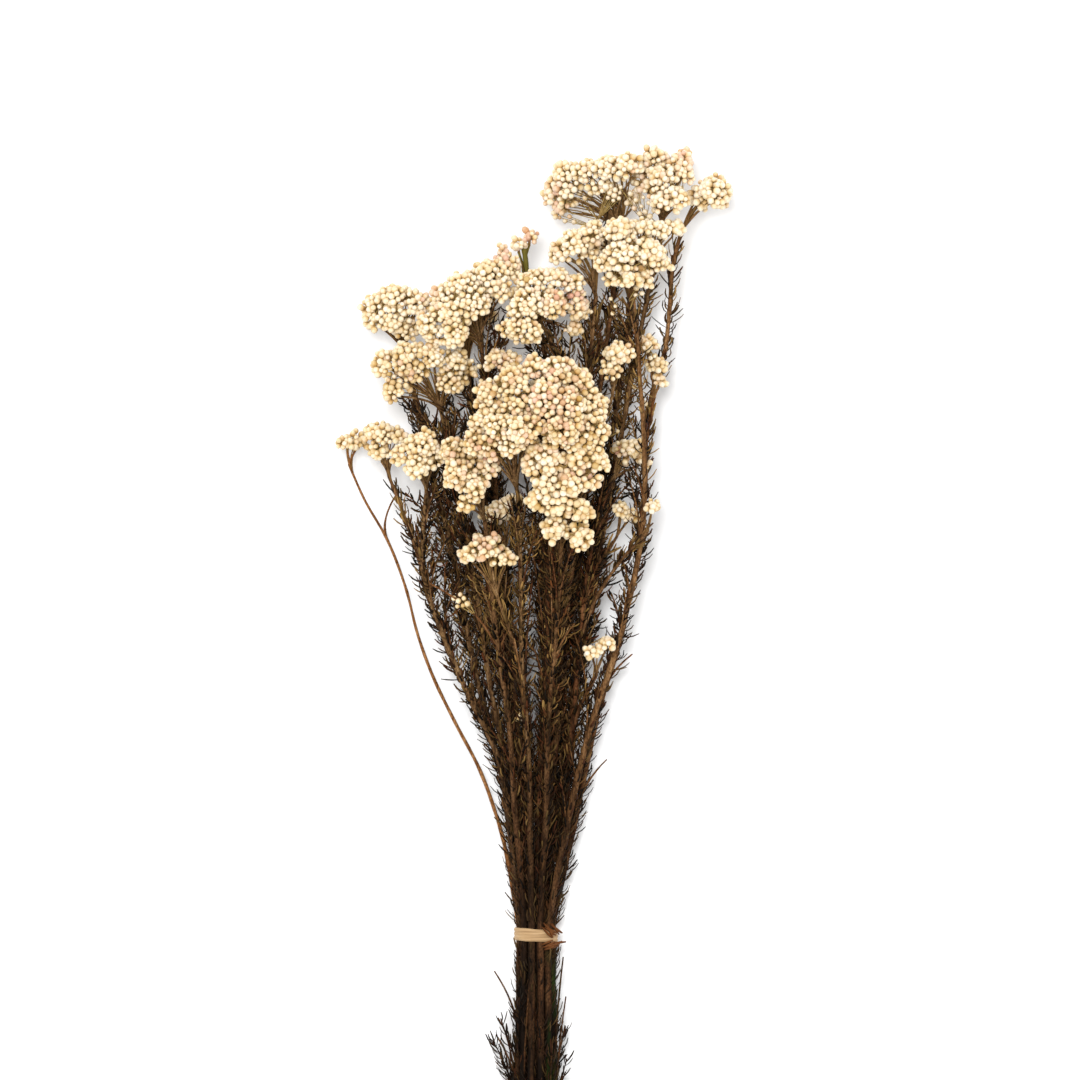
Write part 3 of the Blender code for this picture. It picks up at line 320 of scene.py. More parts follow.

# A few needles lie over the right part of the tie
STRAY_STEM, STRAY_COUNT = "upper", 18
STRAY_TONE, STRAY_RUST = 0.85, 0.8
STRAY_LENGTHS, STRAY_FACING = (0.7, 1.0), (0.05, 0.0, 1.0)
STRAY_ACROSS = (3.0, 10.0)
STRAY_ALONG = (4.2, 8.0)  # from the tie's middle, to both sides
STRAY_HEADINGS = ((-38, 16), (20, 18))  # of those above and below it, with their spread

# The top of one side shoot is thick and still green: across, along, up and reach
OLIVE_SPOT, OLIVE_POWER = (-5.5, 371, 38, 10), 4
OLIVE_FROM, OLIVE_TO = (-4.5, 362, 36), (-6.5, 378, 41)
OLIVE_RADII, OLIVE_POINTS = (1.0, 1.7), 10

# The camera and the setting
CAMERA_DISTANCE = 6000.0
FRAME_WIDTH = 594.0  # at the height of the middle of the bunch
FRAME_MIDDLE, FRAME_HEIGHT = (2.2, 217.9), 35.0
FLOOR_SIZE = 6.0
KEY_PLACE, KEY_AIM = (-0.25, 0.5, 2.95), (0.0, 0.05, 0.05)
KEY_SIZE, KEY_POWER = 0.9, 62

# The tie's ribbon, in millimetres
TIE_SIDES, TIE_PROFILE = 96, 13
TIE_SLOPE = -0.06  # its left end is a little farther up the bunch
TIE_THICKNESS, TIE_INSET = 0.8, 0.3
TIE_RIBS, TIE_RIB, TIE_RIB_SHARE, TIE_EDGE_POWER = 3, 0.25, 0.8, 8
TIE_WAVES, TIE_WAVE = 5, 0.08
TIE_EDGES = ((0.03, 3, 1), (0.02, 7, 0))  # size, number and shift of the waves in its edges

# Where the buds are pink: across, along, reach and strength
BLUSHES = np.array([
    (-3, 384, 9, 0.9), (18, 352, 11, 0.8), (7, 408, 7, 0.7), (15, 396, 7, 0.7), (-75, 308, 8, 0.6),
    (-20, 317, 8, 0.6), (26, 297, 8, 0.5), (-40, 262, 8, 0.45), (-26, 220, 12, 0.6), (46, 267, 6, 0.7),
    (-18, 376, 8, 0.8), (-58, 352, 7, 0.5), (8, 296, 26, 0.55), (24, 252, 10, 0.45), (-30, 264, 14, 0.55),
    (60, 412, 12, 0.4), (81, 428, 6, 0.5)])
# Where the wood and leaves are paler: across, along, reach and strength
PALE_SPOTS = np.array([
    (48, 330, 26, 0.22), (45, 292, 14, 0.3), (60, 300, 20, 0.12), (-2, 217, 9, 0.4), (-24, 185, 16, 0.35),
    (70, 350, 16, 0.15)])

# kind is stem, shoot, spray, branch or twig
Wood = namedtuple("Wood", "stem line radii kind")


def unit(vectors):
    return vectors / np.maximum(np.linalg.norm(vectors, axis=-1, keepdims=True), TINY)


def square_to(directions):
    """Two unit vectors square to each direction and to each other."""
    directions = unit(np.asarray(directions, float))
    upright = np.abs(directions[..., 2:]) > NEARLY_UPRIGHT
    side = unit(np.cross(directions, np.where(upright, (1.0, 0.0, 0.0), (0.0, 0.0, 1.0))))
    return side, np.cross(directions, side)


def turned(one, other, angles):
    """The directions at angles from one way towards the other."""
    return one * np.cos(angles)[:, None] + other * np.sin(angles)[:, None]


def lift(places, lowest):
    """Brings the places that are lower than a height over the surface up to it."""
    places[..., 2] = np.maximum(places[..., 2], lowest)
    return places


def nearest(places, others):
    """Which of the others each place is nearest to."""
    return np.argmin(((places[:, None] - others) ** 2).sum(axis=2), axis=1)


def to_frame(points):
    """From the plan's millimetres to the frame's metres."""
    return (points + (TIE_PLACE[0], TIE_PLACE[1], 0.0)) * MM


def ripple(points, length):
    """A smooth random-looking value between -1 and 1 at each point, with bumps of a length."""
    scaled = (np.asarray(points) * (2 * math.pi / length)).T
    return sum(np.sin(scaled[k] + swing * np.sin(rate * scaled[k - 2] + shift))
               for k, (swing, rate, shift) in enumerate(RIPPLES)) / len(RIPPLES)


def spots_at(places, spots):
    """How strongly each spot shows at each place."""
    across, along, reach, strength = spots.T
    distance = np.hypot(places[:, :1] - across, places[:, 1:2] - along)
    return strength * np.exp(-((distance / reach) ** 2))


# Where the stems run

def fan(share):
    """How far a stem has spread from the bundle, from 0 in the tie to 1 at its crown."""
    return (math.hypot(share, START_OF_FAN) - START_OF_FAN) / (math.hypot(1, START_OF_FAN) - START_OF_FAN)


def course_point(course, along):
    """Where the smooth line through a course's places is at a height along the bunch."""
    course = np.array(course, float)
    heights = course[:, 1]
    slopes = np.gradient(course, heights, axis=0)
    k = int(np.clip(np.searchsorted(heights, along) - 1, 0, len(course) - 2))
    step = heights[k + 1] - heights[k]
    share = (along - heights[k]) / step
    left = 1 - share
    return (left**2 * ((1 + 2 * share) * course[k] + share * step * slopes[k])
            + share**2 * ((1 + 2 * left) * course[k + 1] - left * step * slopes[k + 1]))


def stem_point(stem, along):
    """The middle of a stem at a height along the bunch."""
    angle = math.radians(stem.angle)
    ring = RING_RADII[stem.ring]
    seat = np.array((ring * math.cos(angle), ring * math.sin(angle)))
    start = seat + (0, TIE_UP)
    if along <= GRIP:
        below = max(0.0, (along + GRIP) / (CUT_END + GRIP))
        middle = TIE_UP + (CUT_END_UP - TIE_UP) * below
        place = seat * (1 + FLARE * below**FLARE_POWER) + (0, middle)
    elif stem.name in COURSES:
        return course_point([(start[0], GRIP, start[1]), *COURSES[stem.name], stem.crown], along)
    else:
        share = (along - GRIP) / (stem.crown[1] - GRIP)
        crown = np.array((stem.crown[0], stem.crown[2]))
        phase = 2 * math.pi * along / WIGGLE_LENGTH + stem.angle
        stray = WIGGLE * math.sin(math.pi * share) ** 2
        place = start + (crown - start) * fan(share)
        place = place + stray * np.array((math.sin(phase), math.cos(WIGGLE_SKEW * phase)))
    return np.array((place[0], along, place[1]))


def bend_line(start, heading, end, points, bend=SIDE_BEND):
    """Points of a curve that leaves along a heading and bends over to its end."""
    start, end = np.array(start, float), np.array(end, float)
    middle = start + unit(heading) * bend * np.linalg.norm(end - start)
    shares = np.linspace(0, 1, points)[:, None]
    return (1 - shares) ** 2 * start + 2 * shares * (1 - shares) * middle + shares**2 * end


def side_wood(stem, leaves_at, tip, kind):
    """A shoot, twig or spray: it leaves along its stem and bends over to its tip."""
    points, radii = SIDE_WOODS[kind]
    start = stem_point(stem, leaves_at)
    line = bend_line(start, stem_point(stem, leaves_at + AHEAD) - start, tip, points)
    return Wood(stem.name, line, np.linspace(*radii, points), kind)


def lobe_axes(lobes, crown):
    """The way that each lobe looks: away from its crown, and the way that its head looks."""
    outward = unit(lobes[:, :3].mean(axis=0) - crown)
    return unit(outward + unit(lobes[:, :3] - crown))


def lobe_roots(lobes, crown):
    """Where the ribs of each lobe part."""
    return lift(lobes[:, :3] - lobe_axes(lobes, crown) * (lobes[:, 3:] * LOBE_ROOT), BRANCH_RADII[0])


def stem_sprays(rng):
    """Short leafy shoots along the stems, that cross to their neighbours."""
    woods = []
    for stem in STEMS:
        top = min(SPRAY_TO, stem.crown[1] - SPRAY_LENGTHS[1])
        for along in np.arange(SPRAY_FROM, top, SPRAY_STEP) + rng.uniform(0, SPRAY_STEP):
            end = stem_point(stem, along + rng.uniform(*SPRAY_LENGTHS))
            sway = rng.uniform(-SPRAY_SWAY, SPRAY_SWAY)
            if abs(end[0]) > SPRAY_INSIDE * end[1]:
                sway = -abs(sway) * np.sign(end[0])
            end = lift(end + (sway, 0, rng.uniform(*SPRAY_RISES)), STEM_RADIUS)
            if stem.name != LONE_STEM:
                woods.append(side_wood(stem, along, end, "spray"))
    return woods


def all_wood(lobes, rng):
    """Every main stem, side shoot, spray and twig, and the branches under the heads."""
    by_name = {stem.name: stem for stem in STEMS}
    woods = []
    for stem in STEMS:
        alongs = np.arange(CUT_END, stem.crown[1], BARK_STEP)
        line = np.array([stem_point(stem, along) for along in (*alongs, stem.crown[1])])
        share = np.clip(line[:, 1] / stem.crown[1], 0, 1)
        radii = STEM_RADIUS + (CROWN_RADIUS - STEM_RADIUS) * share
        if stem.name == LONE_STEM:
            radii = radii * np.interp(line[:, 1], (0, SLIM_FROM), (1, SLIM_SHARE))
        woods.append(Wood(stem.name, line, radii, "stem"))
    woods += [side_wood(by_name[s.stem], s.leaves_at, s.crown, "shoot") for s in SHOOTS]
    for table, kind in ((TWIGS, "twig"), (SPRAYS, "spray")):
        for name, rows in table.items():
            woods += [side_wood(by_name[name], leaves_at, tip, kind) for leaves_at, *tip in rows]
    woods += stem_sprays(rng)
    woods.append(Wood("mid_upper", np.linspace(OLIVE_FROM, OLIVE_TO, OLIVE_POINTS),
                      np.linspace(*OLIVE_RADII, OLIVE_POINTS), "twig"))
    for carrier in STEMS + SHOOTS:
        crown, own = np.array(carrier.crown, float), lobes[carrier.name]
        heading = own[:, :3].mean(axis=0) - crown
        radii = np.linspace(*BRANCH_RADII, BRANCH_POINTS)
        for root in lobe_roots(own, crown):
            line = lift(bend_line(crown, heading, root, BRANCH_POINTS, BRANCH_BEND), radii * FLOOR_MARGIN)
            woods.append(Wood(getattr(carrier, "stem", carrier.name), line, radii, "branch"))
    return woods


def clear_lobes():
    """Every head's lobes, made smaller where they would press into those of another head."""
    heads = {s.name: [np.array(lobe, float) for lobe in s.lobes] for s in STEMS + SHOOTS}
    for one, other in combinations(sorted(heads), 2):
        for a, b in product(heads[one], heads[other]):
            total = a[3] + b[3]
            excess = total + LOBE_GAP - np.linalg.norm(a[:3] - b[:3])
            if excess > 0:
                a[3] -= excess * a[3] / total
                b[3] -= excess * b[3] / total
    return {name: np.array(lobes) for name, lobes in heads.items()}


# Making meshes

def add_object(name, data):
    ob = bpy.data.objects.new(name, data)
    bpy.context.scene.collection.objects.link(ob)
    return ob


class Patches:
    """Collects patches of triangles, with values at their corners, for one piece."""

    def __init__(self):
        self.places, self.faces, self.values, self.count = [], [], {}, 0

    def add(self, places, faces, **values):
        self.places.append(places)
        self.faces.append(faces + self.count)
        self.count += len(places)
        for key, value in values.items():
            self.values.setdefault(key, []).append(np.broadcast_to(value, len(places)))

    def piece(self, name, material, nodes, slot):
        """One piece of the bunch, that stands for its nodes."""
        mesh = bpy.data.meshes.new(name)
        places, faces = to_frame(np.concatenate(self.places)), np.concatenate(self.faces)
        mesh.from_pydata(places.tolist(), [], faces.tolist())
        mesh.shade_smooth()
        for key, value in self.values.items():
            attribute = mesh.attributes.new(key, "FLOAT", "POINT")
            attribute.data.foreach_set("value", np.concatenate(value).astype(np.float32))
        mesh.materials.append(material)
        ob = add_object(name, mesh)
        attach(ob, "root")
        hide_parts(*nodes)


def tubes(lines, radii, sides, flatness=1.0, facing=None, caps=True):
    """Tubes along lines: their corners, triangles and each corner's share of the way. A flat tube's
    broad side looks the way of facing."""
    lines = np.asarray(lines, float)
    count, points, _ = lines.shape
    heading = unit(np.gradient(lines, axis=1))
    if facing is None:
        facing = square_to(lines[:, -1] - lines[:, 0])[0]
    side = unit(np.cross(heading, facing[:, None]))
    over = np.cross(heading, side)
    angles = 2 * math.pi * np.arange(sides) / sides
    rings = (side[:, :, None] * np.cos(angles)[:, None]
             + over[:, :, None] * (flatness * np.sin(angles))[:, None])
    places = lines[:, :, None] + np.broadcast_to(radii, (count, points))[:, :, None, None] * rings
    base = np.arange(points - 1)[:, None] * sides
    here = np.arange(sides)
    after = (here + 1) % sides
    faces = quads(base + here, base + after, base + sides + after, base + sides + here)
    if caps:
        inner = np.arange(1, sides - 1)
        ends = np.stack((0 * inner, inner + 1, inner), -1)
        faces = np.concatenate((faces, ends, ends[:, (0, 2, 1)] + (points - 1) * sides))
    faces = faces[None] + (np.arange(count) * points * sides)[:, None, None]
    shares = np.broadcast_to(np.linspace(0, 1, points)[:, None], (count, points, sides))
    return places.reshape(-1, 3), faces.reshape(-1, 3), shares.ravel()


def quads(a, b, c, d):
    """Each quad as two triangles."""
    return np.concatenate((np.stack((a, b, c), -1).reshape(-1, 3), np.stack((a, c, d), -1).reshape(-1, 3)))


def bud_shape(meridians, parallels):
    """A rounded bud of size 1, with soft ridges that meet in a low tip, and a narrow foot."""
    polar = np.linspace(0, math.pi, parallels + 1)[1:-1, None]
    around = 2 * math.pi * np.arange(meridians) / meridians
    ridge = 1 + BUD_RIDGE * np.cos(meridians / 2 * around) * np.cos(polar / 2) ** 2
    waist = 1 - BUD_FOOT * np.maximum(0.0, -np.cos(polar)) ** 2
    width = np.sin(polar) * ridge * waist / 2
    ring = np.stack((width * np.cos(around), width * np.sin(around),
                     np.broadcast_to(BUD_LENGTH * np.cos(polar) / 2, width.shape)), -1).reshape(-1, 3)
    places = np.concatenate(((0, 0, BUD_LENGTH / 2 + BUD_TIP), *ring, (0, 0, -BUD_LENGTH / 2)), axis=None)
    here = np.arange(meridians)
    after = (here + 1) % meridians
    last = 1 + (parallels - 2) * meridians
    faces = [np.stack((0 * here, 1 + here, 1 + after), -1)]
    for start in range(1, last, meridians):
        faces.append(quads(start + here, start + meridians + here, start + meridians + after, start + after))
    faces.append(np.stack((last + here, np.full_like(here, last + meridians), last + after), -1))
    return places.reshape(-1, 3), np.concatenate(faces)


def scatter(shape, places, axes, turns, sizes, stretch):
    """Copies of a shape, each at its place, along its axis, turned, sized and stretched."""
    first = turned(*square_to(axes), turns)
    frames = np.stack((first, np.cross(unit(axes), first), unit(axes) * stretch[:, None]), 1)
    corners, faces = shape
    moved = np.einsum("vi,nij->nvj", corners, frames * sizes[:, None, None]) + places[:, None]
    numbers = faces[None] + (np.arange(len(places)) * len(corners))[:, None, None]
    return moved.reshape(-1, 3), numbers.reshape(-1, 3)


# Materials

def colour(red, green, blue):
    """A colour given in display values up to 255."""
    def linear(value):
        value /= 255
        return value / 12.92 if value <= 0.04045 else ((value + 0.055) / 1.055) ** 2.4
    return (linear(red), linear(green), linear(blue), 1.0)


class Nodes:
    """A new material's nodes."""

    def __init__(self, name, roughness, gloss=0.3):
        self.material = bpy.data.materials.new(name)
        self.material.use_nodes = True
        self.tree = self.material.node_tree
        self.shader = self.tree.nodes["Principled BSDF"]
        self.shader.inputs["Roughness"].default_value = roughness
        self.shader.inputs["Specular IOR Level"].default_value = gloss

    def node(self, kind, *inputs, **settings):
        """A new node. An input is a socket and what goes in: an attribute's name, a link or a value."""
        node = self.tree.nodes.new(f"ShaderNode{kind}")
        for key, value in settings.items():
            setattr(node, key, value)
        for socket, source in inputs:
            if isinstance(source, str):
                source = self.node("Attribute", attribute_name=source).outputs["Fac"]
            if isinstance(source, bpy.types.NodeSocket):
                self.tree.links.new(source, node.inputs[socket])
            else:
                node.inputs[socket].default_value = source
        return node

    def ramp(self, source, *stops):
        """Each stop is a place and a colour in display values."""
        node = self.node("ValToRGB", ("Fac", source))
        while len(node.color_ramp.elements) < len(stops):
            node.color_ramp.elements.new(0.5)
        for element, (place, *shade) in zip(node.color_ramp.elements, stops):
            element.position = place
            element.color = colour(*shade)
        return node.outputs["Color"]

    def mix(self, share, one, other, blend="MIX"):
        node = self.node("Mix", (0, share), (6, one), (7, other), data_type="RGBA", blend_type=blend)
        return node.outputs[2]

    def noise(self, scale, stretch=(1, 1, 1), detail=3.0):
        """Noise with a scale per metre, stretched along the axes."""
        place = self.node("TexCoord").outputs["Object"]
        mapping = self.node("Mapping", ("Vector", place), ("Scale", stretch))
        return self.node("TexNoise", ("Vector", mapping.outputs["Vector"]), ("Scale", scale),
                         ("Detail", detail)).outputs["Fac"]

    def finish(self, shade, height=None, depth=0.0002, strength=0.6):
        self.tree.links.new(shade, self.shader.inputs["Base Color"])
        if height is not None:
            bump = self.node("Bump", ("Distance", depth), ("Strength", strength), ("Height", height))
            self.tree.links.new(bump.outputs["Normal"], self.shader.inputs["Normal"])
        return self.material


def bud_material():
    """Papery buds: cream tips, tan and yellow-green feet, some pink."""
    nodes = Nodes("dried_bud", 0.62, gloss=0.2)
    shade = nodes.ramp("tip", (0.0, 174, 138, 84), (0.3, 212, 180, 126), (0.55, 224, 203, 162),
                       (0.9, 240, 229, 208))
    shade = nodes.mix("blush", shade, colour(206, 154, 134))
    tone = nodes.ramp("tone", (0.0, 204, 178, 120), (0.45, 246, 238, 218), (1.0, 255, 255, 255))
    shade = nodes.mix(1.0, shade, tone, "MULTIPLY")
    mottle = nodes.ramp(nodes.noise(900), (0.3, 224, 208, 180), (0.62, 255, 255, 255))
    shade = nodes.mix(0.6, shade, mottle, "MULTIPLY")
    return nodes.finish(shade, nodes.noise(2600), depth=0.00008)


def stalk_material():
    """Thin stalks: brown where they leave the stem and yellow-green under the buds."""
    nodes = Nodes("dried_stalk", 0.7, gloss=0.1)
    shade = nodes.ramp("rise", (0.0, 108, 76, 42), (0.45, 152, 120, 70), (1.0, 188, 164, 102))
    fleck = nodes.ramp(nodes.noise(500, (1, 0.4, 1)), (0.35, 170, 160, 150), (0.65, 255, 255, 255))
    shade = nodes.mix(0.8, shade, fleck, "MULTIPLY")
    return nodes.finish(shade, nodes.noise(1500), depth=0.0001)


def bark_material():
    """Bark: lengthwise streaks of brown and reddish brown, more orange on bare old wood, and painted shade
    in the packed bundle.
    """
    nodes = Nodes("bark", 0.75, gloss=0.06)
    streak = nodes.noise(420, (1, 0.08, 1), 5.0)
    shade = nodes.ramp(streak, (0.25, 30, 17, 9), (0.42, 74, 42, 23), (0.58, 112, 66, 38),
                       (0.78, 142, 96, 60))
    tan = nodes.ramp(streak, (0.25, 58, 40, 24), (0.48, 122, 92, 58), (0.76, 168, 138, 96))
    shade = nodes.mix("tint", shade, tan)
    bare = nodes.ramp(streak, (0.25, 86, 52, 28), (0.5, 146, 98, 56), (0.8, 176, 132, 86))
    shade = nodes.mix("bare", shade, bare)
    patch = nodes.ramp(nodes.noise(110, (1, 0.15, 1)), (0.42, 255, 255, 255), (0.62, 196, 196, 196))
    fleck = nodes.ramp(nodes.noise(1300, (1, 0.5, 1)), (0.35, 120, 108, 98), (0.6, 255, 255, 255))
    shade = nodes.mix(0.8, shade, fleck, "MULTIPLY")
    # painted shade: the bark in the packed bundle goes towards near black, in patches
    shade = nodes.mix(nodes.mix(1.0, "dark", patch, "MULTIPLY"), shade, colour(10, 6, 3))
    green = nodes.ramp(nodes.noise(60, (1, 0.25, 1)), (0.58, 0, 0, 0), (0.72, 255, 255, 255))
    shade = nodes.mix(nodes.mix(1.0, green, "moss", "MULTIPLY"), shade, colour(40, 58, 20))
    shade = nodes.mix("olive", shade, colour(108, 100, 44))
    shade = nodes.mix("cut", shade, colour(176, 148, 104))
    return nodes.finish(shade, streak, depth=0.0008, strength=1.0)


def needle_material():
    """Dried needle leaves: dark brown and olive, with some tan ones, and painted shade in the packed bundle.
    """
    nodes = Nodes("dried_needle", 0.6, gloss=0.08)
    shade = nodes.ramp("tone", (0.0, 13, 9, 5), (0.35, 42, 30, 17), (0.6, 86, 65, 37),
                       (0.8, 128, 102, 56), (1.0, 168, 134, 80))
    shade = nodes.mix("rust", shade, colour(112, 60, 30))
    tip = nodes.ramp("rise", (0.0, 170, 160, 150), (0.6, 230, 225, 220), (1.0, 255, 250, 240))
    shade = nodes.mix(1.0, shade, tip, "MULTIPLY")
    # painted shade: the needles in the packed bundle go towards near black
    shade = nodes.mix("dark", shade, colour(8, 5, 3))
    return nodes.finish(shade, nodes.noise(1200), depth=0.0001)


def tie_material():
    """A strip of pale raffia with lengthwise fibres."""
    nodes = Nodes("raffia", 0.6)
    fibre = nodes.noise(900, (0.05, 1, 0.05), 4.0)
    shade = nodes.ramp(fibre, (0.3, 134, 102, 66), (0.55, 172, 140, 100), (0.8, 194, 166, 128))
    return nodes.finish(shade, fibre, depth=0.0003)


# The heads

def skin_at(points, lobes):
    """How far outside a head's blended lobes each point is, and the way outward."""
    apart = points[:, None] - lobes[:, :3]
    distance = np.linalg.norm(apart, axis=2)
    weight = np.exp(-BLEND * (distance - lobes[:, 3]))
    outward = ((weight / distance)[..., None] * apart).sum(axis=1)
    return -np.log(weight.sum(axis=1)) / BLEND, unit(outward)


def settle(points, lobes, depth):
    """Moves points to a depth under a head's surface."""
    for _ in range(SETTLE_STEPS):
        outside, outward = skin_at(points, lobes)
        points = points - outward * (outside - depth)[:, None]
    return points


def spread(points, gap, rng):
    """Picks points at random that keep a gap to each other."""
    free = np.ones(len(points), bool)
    picked = []
    for k in rng.permutation(len(points)):
        if free[k]:
            picked.append(k)
            free &= ((points - points[k]) ** 2).sum(axis=1) > gap**2
    return points[picked]


def skin_places(lobes, axes):
    """Places close together all over a head's skin, where a bud may sit."""
    places = []
    for lobe, axis in zip(lobes, axes):
        count = int(4 * math.pi * lobe[3] ** 2 / SEED_STEP**2)
        height = 1 - (2 * np.arange(count) + 1) / count
        angle = np.arange(count) * GOLDEN_ANGLE
        flat = np.sqrt(1 - height**2)
        ways = np.column_stack((flat * np.cos(angle), flat * np.sin(angle), height))
        ways = ways[ways @ axis > math.cos(BUD_REACH)]
        places.append(lobe[:3] + ways * lobe[3])
    places = np.concatenate(places)
    outside, _ = skin_at(places, lobes)
    return settle(places[outside > -LOBE_OVERLAP], lobes, 0.0)


def build_head(name, lobes, wood, woods, rng, materials):
    """A head: outer buds in small umbels, inner ones that fill in under them, and stalks."""
    size = BUD_SIZES.get(name, BUD_SIZE)
    crown = wood.line[-1]
    axes = lobe_axes(lobes, crown)
    free = skin_places(lobes, axes)
    hubs = spread(free, UMBEL_STEP, rng)
    outer = spread(free, size * BUD_CLOSENESS, rng)
    own = nearest(outer, hubs)
    _, ways = skin_at(outer, lobes)
    apart = outer - hubs[own]
    distance = np.minimum(np.linalg.norm(apart, axis=1) / (UMBEL_STEP / 2), UMBEL_EDGE)
    rise = UMBEL_RISE * (1 - distance**2) + rng.normal(0, BUD_STRAY, len(outer))
    outer = outer + ways * (SKIN_DEPTH + rise)[:, None]
    ways = unit(ways + apart * UMBEL_TILT / (UMBEL_STEP / 2) + rng.normal(0, BUD_TURN, outer.shape))
    inner = spread(settle(free, lobes, INNER_DEPTH), size * INNER_CLOSENESS, rng)
    _, inner_ways = skin_at(inner, lobes)
    _, hub_ways = skin_at(hubs, lobes)
    roots = lift(hubs - hub_ways * UMBEL_DEPTH, BRANCH_RADII[0])

    buds, stalks = Patches(), Patches()
    add_buds(buds, stalks, outer, ways, OUTER_BUD, size, 1.0, roots[own], rng)
    add_buds(buds, stalks, inner, inner_ways, INNER_BUD, size * INNER_SHARE, INNER_SHADED_PALENESS,
             roots[nearest(inner, hubs)], rng)
    owner = nearest(roots, lobes[:, :3])
    add_ribs(stalks, lobe_roots(lobes, crown)[owner], axes[owner], roots, BRANCH_POINTS, RIB_BEND,
             SHORT_RIB_RISE)
    lower = wood.line[-1] - wood.line[-2]
    starts = crown - unit(lower) * rng.uniform(0, RIB_BACK, (len(roots), 1))
    add_ribs(stalks, starts, [lower] * len(roots), roots, LONG_RIB_POINTS, LONG_RIB_BEND, LONG_RIB_RISE)
    if name in LOOSE_BUDS:
        loose = np.array(LOOSE_BUDS[name], float)
        add_buds(buds, stalks, loose, unit(unit(loose - crown) + LOOSE_WAY), OUTER_BUD, size * LOOSE_SIZE,
                 LOOSE_SHADED_PALENESS, wood_under(loose, woods), rng)
    buds.piece(f"buds_{name}", materials["bud"], [f"head_{name}"], "dried_buds")
    stalks.piece(f"stalks_{name}", materials["stalk"], [f"head_{name}"], "stem_wood")


def wood_under(places, woods):
    """The nearest points of the woods that lie farther down the bunch than each place."""
    points = np.concatenate([wood.line for wood in woods if wood.kind != "branch"])
    found = []
    for place in places:
        lower = points[points[:, 1] < place[1] - LOOSE_STALK]
        found.append(lower[nearest(place[None], lower)[0]])
    return np.array(found)


def add_buds(buds, stalks, places, ways, shape, size, paleness, roots, rng):
    """Buds at places, each in its own size, turn and tone, on stalks from their roots."""
    lift(places, FLOOR_ROOM)
    count = len(places)
    sizes = size * rng.uniform(*BUD_SPREAD, count)
    corners, faces = scatter(shape, places, ways, rng.uniform(0, 2 * math.pi, count), sizes,
                             rng.uniform(*BUD_STRETCH, count))
    tone = (rng.normal(*BUD_TONE, count) + TONE_RIPPLE * ripple(places, TONE_RIPPLE_LENGTH)
            + UPPER_TONE * np.clip((places[:, 1] - UPPER_FROM) / (UPPER_TO - UPPER_FROM), 0, 1))
    blush = spots_at(places, BLUSHES).max(axis=1)
    pink = blush * rng.uniform(*PINK_SHARE, count) + rng.uniform(*PINK_STRAY, count)
    per_bud = len(shape[0])
    # a paleness under 1 dulls the cream tips: painted shade on inner and loose buds
    buds.add(corners, faces, tip=np.tile((shape[0][:, 2] + 0.5).clip(0, 1) * paleness, count),
             tone=np.repeat(np.clip(tone, 0, 1), per_bud), blush=np.repeat(pink.clip(0, PINKEST), per_bud))
    lines = np.stack((roots, places - ways * (sizes * STALK_SEAT)[:, None]), 1)
    corners, faces, shares = tubes(lines, np.array(STALK_RADII), STALK_SIDES, caps=False)
    stalks.add(corners, faces, rise=STALK_RISE[0] + STALK_RISE[1] * shares)


def add_ribs(stalks, starts, headings, ends, points, bend, rise):
    """Thin ribs, that leave along their headings and bend over to their ends."""
    lines = np.array([bend_line(*rib, points, bend) for rib in zip(starts, headings, ends)])
    corners, faces, shares = tubes(lift(lines, RIB_RADII[0] * FLOOR_MARGIN),
                                   np.linspace(*RIB_RADII, points), RIB_SIDES)
    stalks.add(corners, faces, rise=rise[0] + rise[1] * shares)


# The stems

def bark_tube(line, radii, sides):
    places, faces, _ = tubes(line[None], radii[None], sides, facing=BARK_FACING)
    return lift(places, BARK_FLOOR), faces


def bark_of(wood, rng):
    """The bark of a stem, shoot or twig, a little uneven."""
    knots = 1 + BARK_KNOTS * ripple(wood.line, KNOT_LENGTH)
    knots += BARK_ROUGHNESS * rng.normal(size=len(knots))
    return bark_tube(wood.line, wood.radii * knots, BARK_SIDES[wood.kind])


def cut_of(wood):
    """The pale wood at a stem's cut end, a thin disk that closes it."""
    disk = wood.line[0] + np.array(((0.0, 0.0, 0.0), (0.0, -CUT_THICKNESS, 0.0)))
    return bark_tube(disk, np.full(2, wood.radii[0] * CUT_SHARE), BARK_SIDES["stem"])


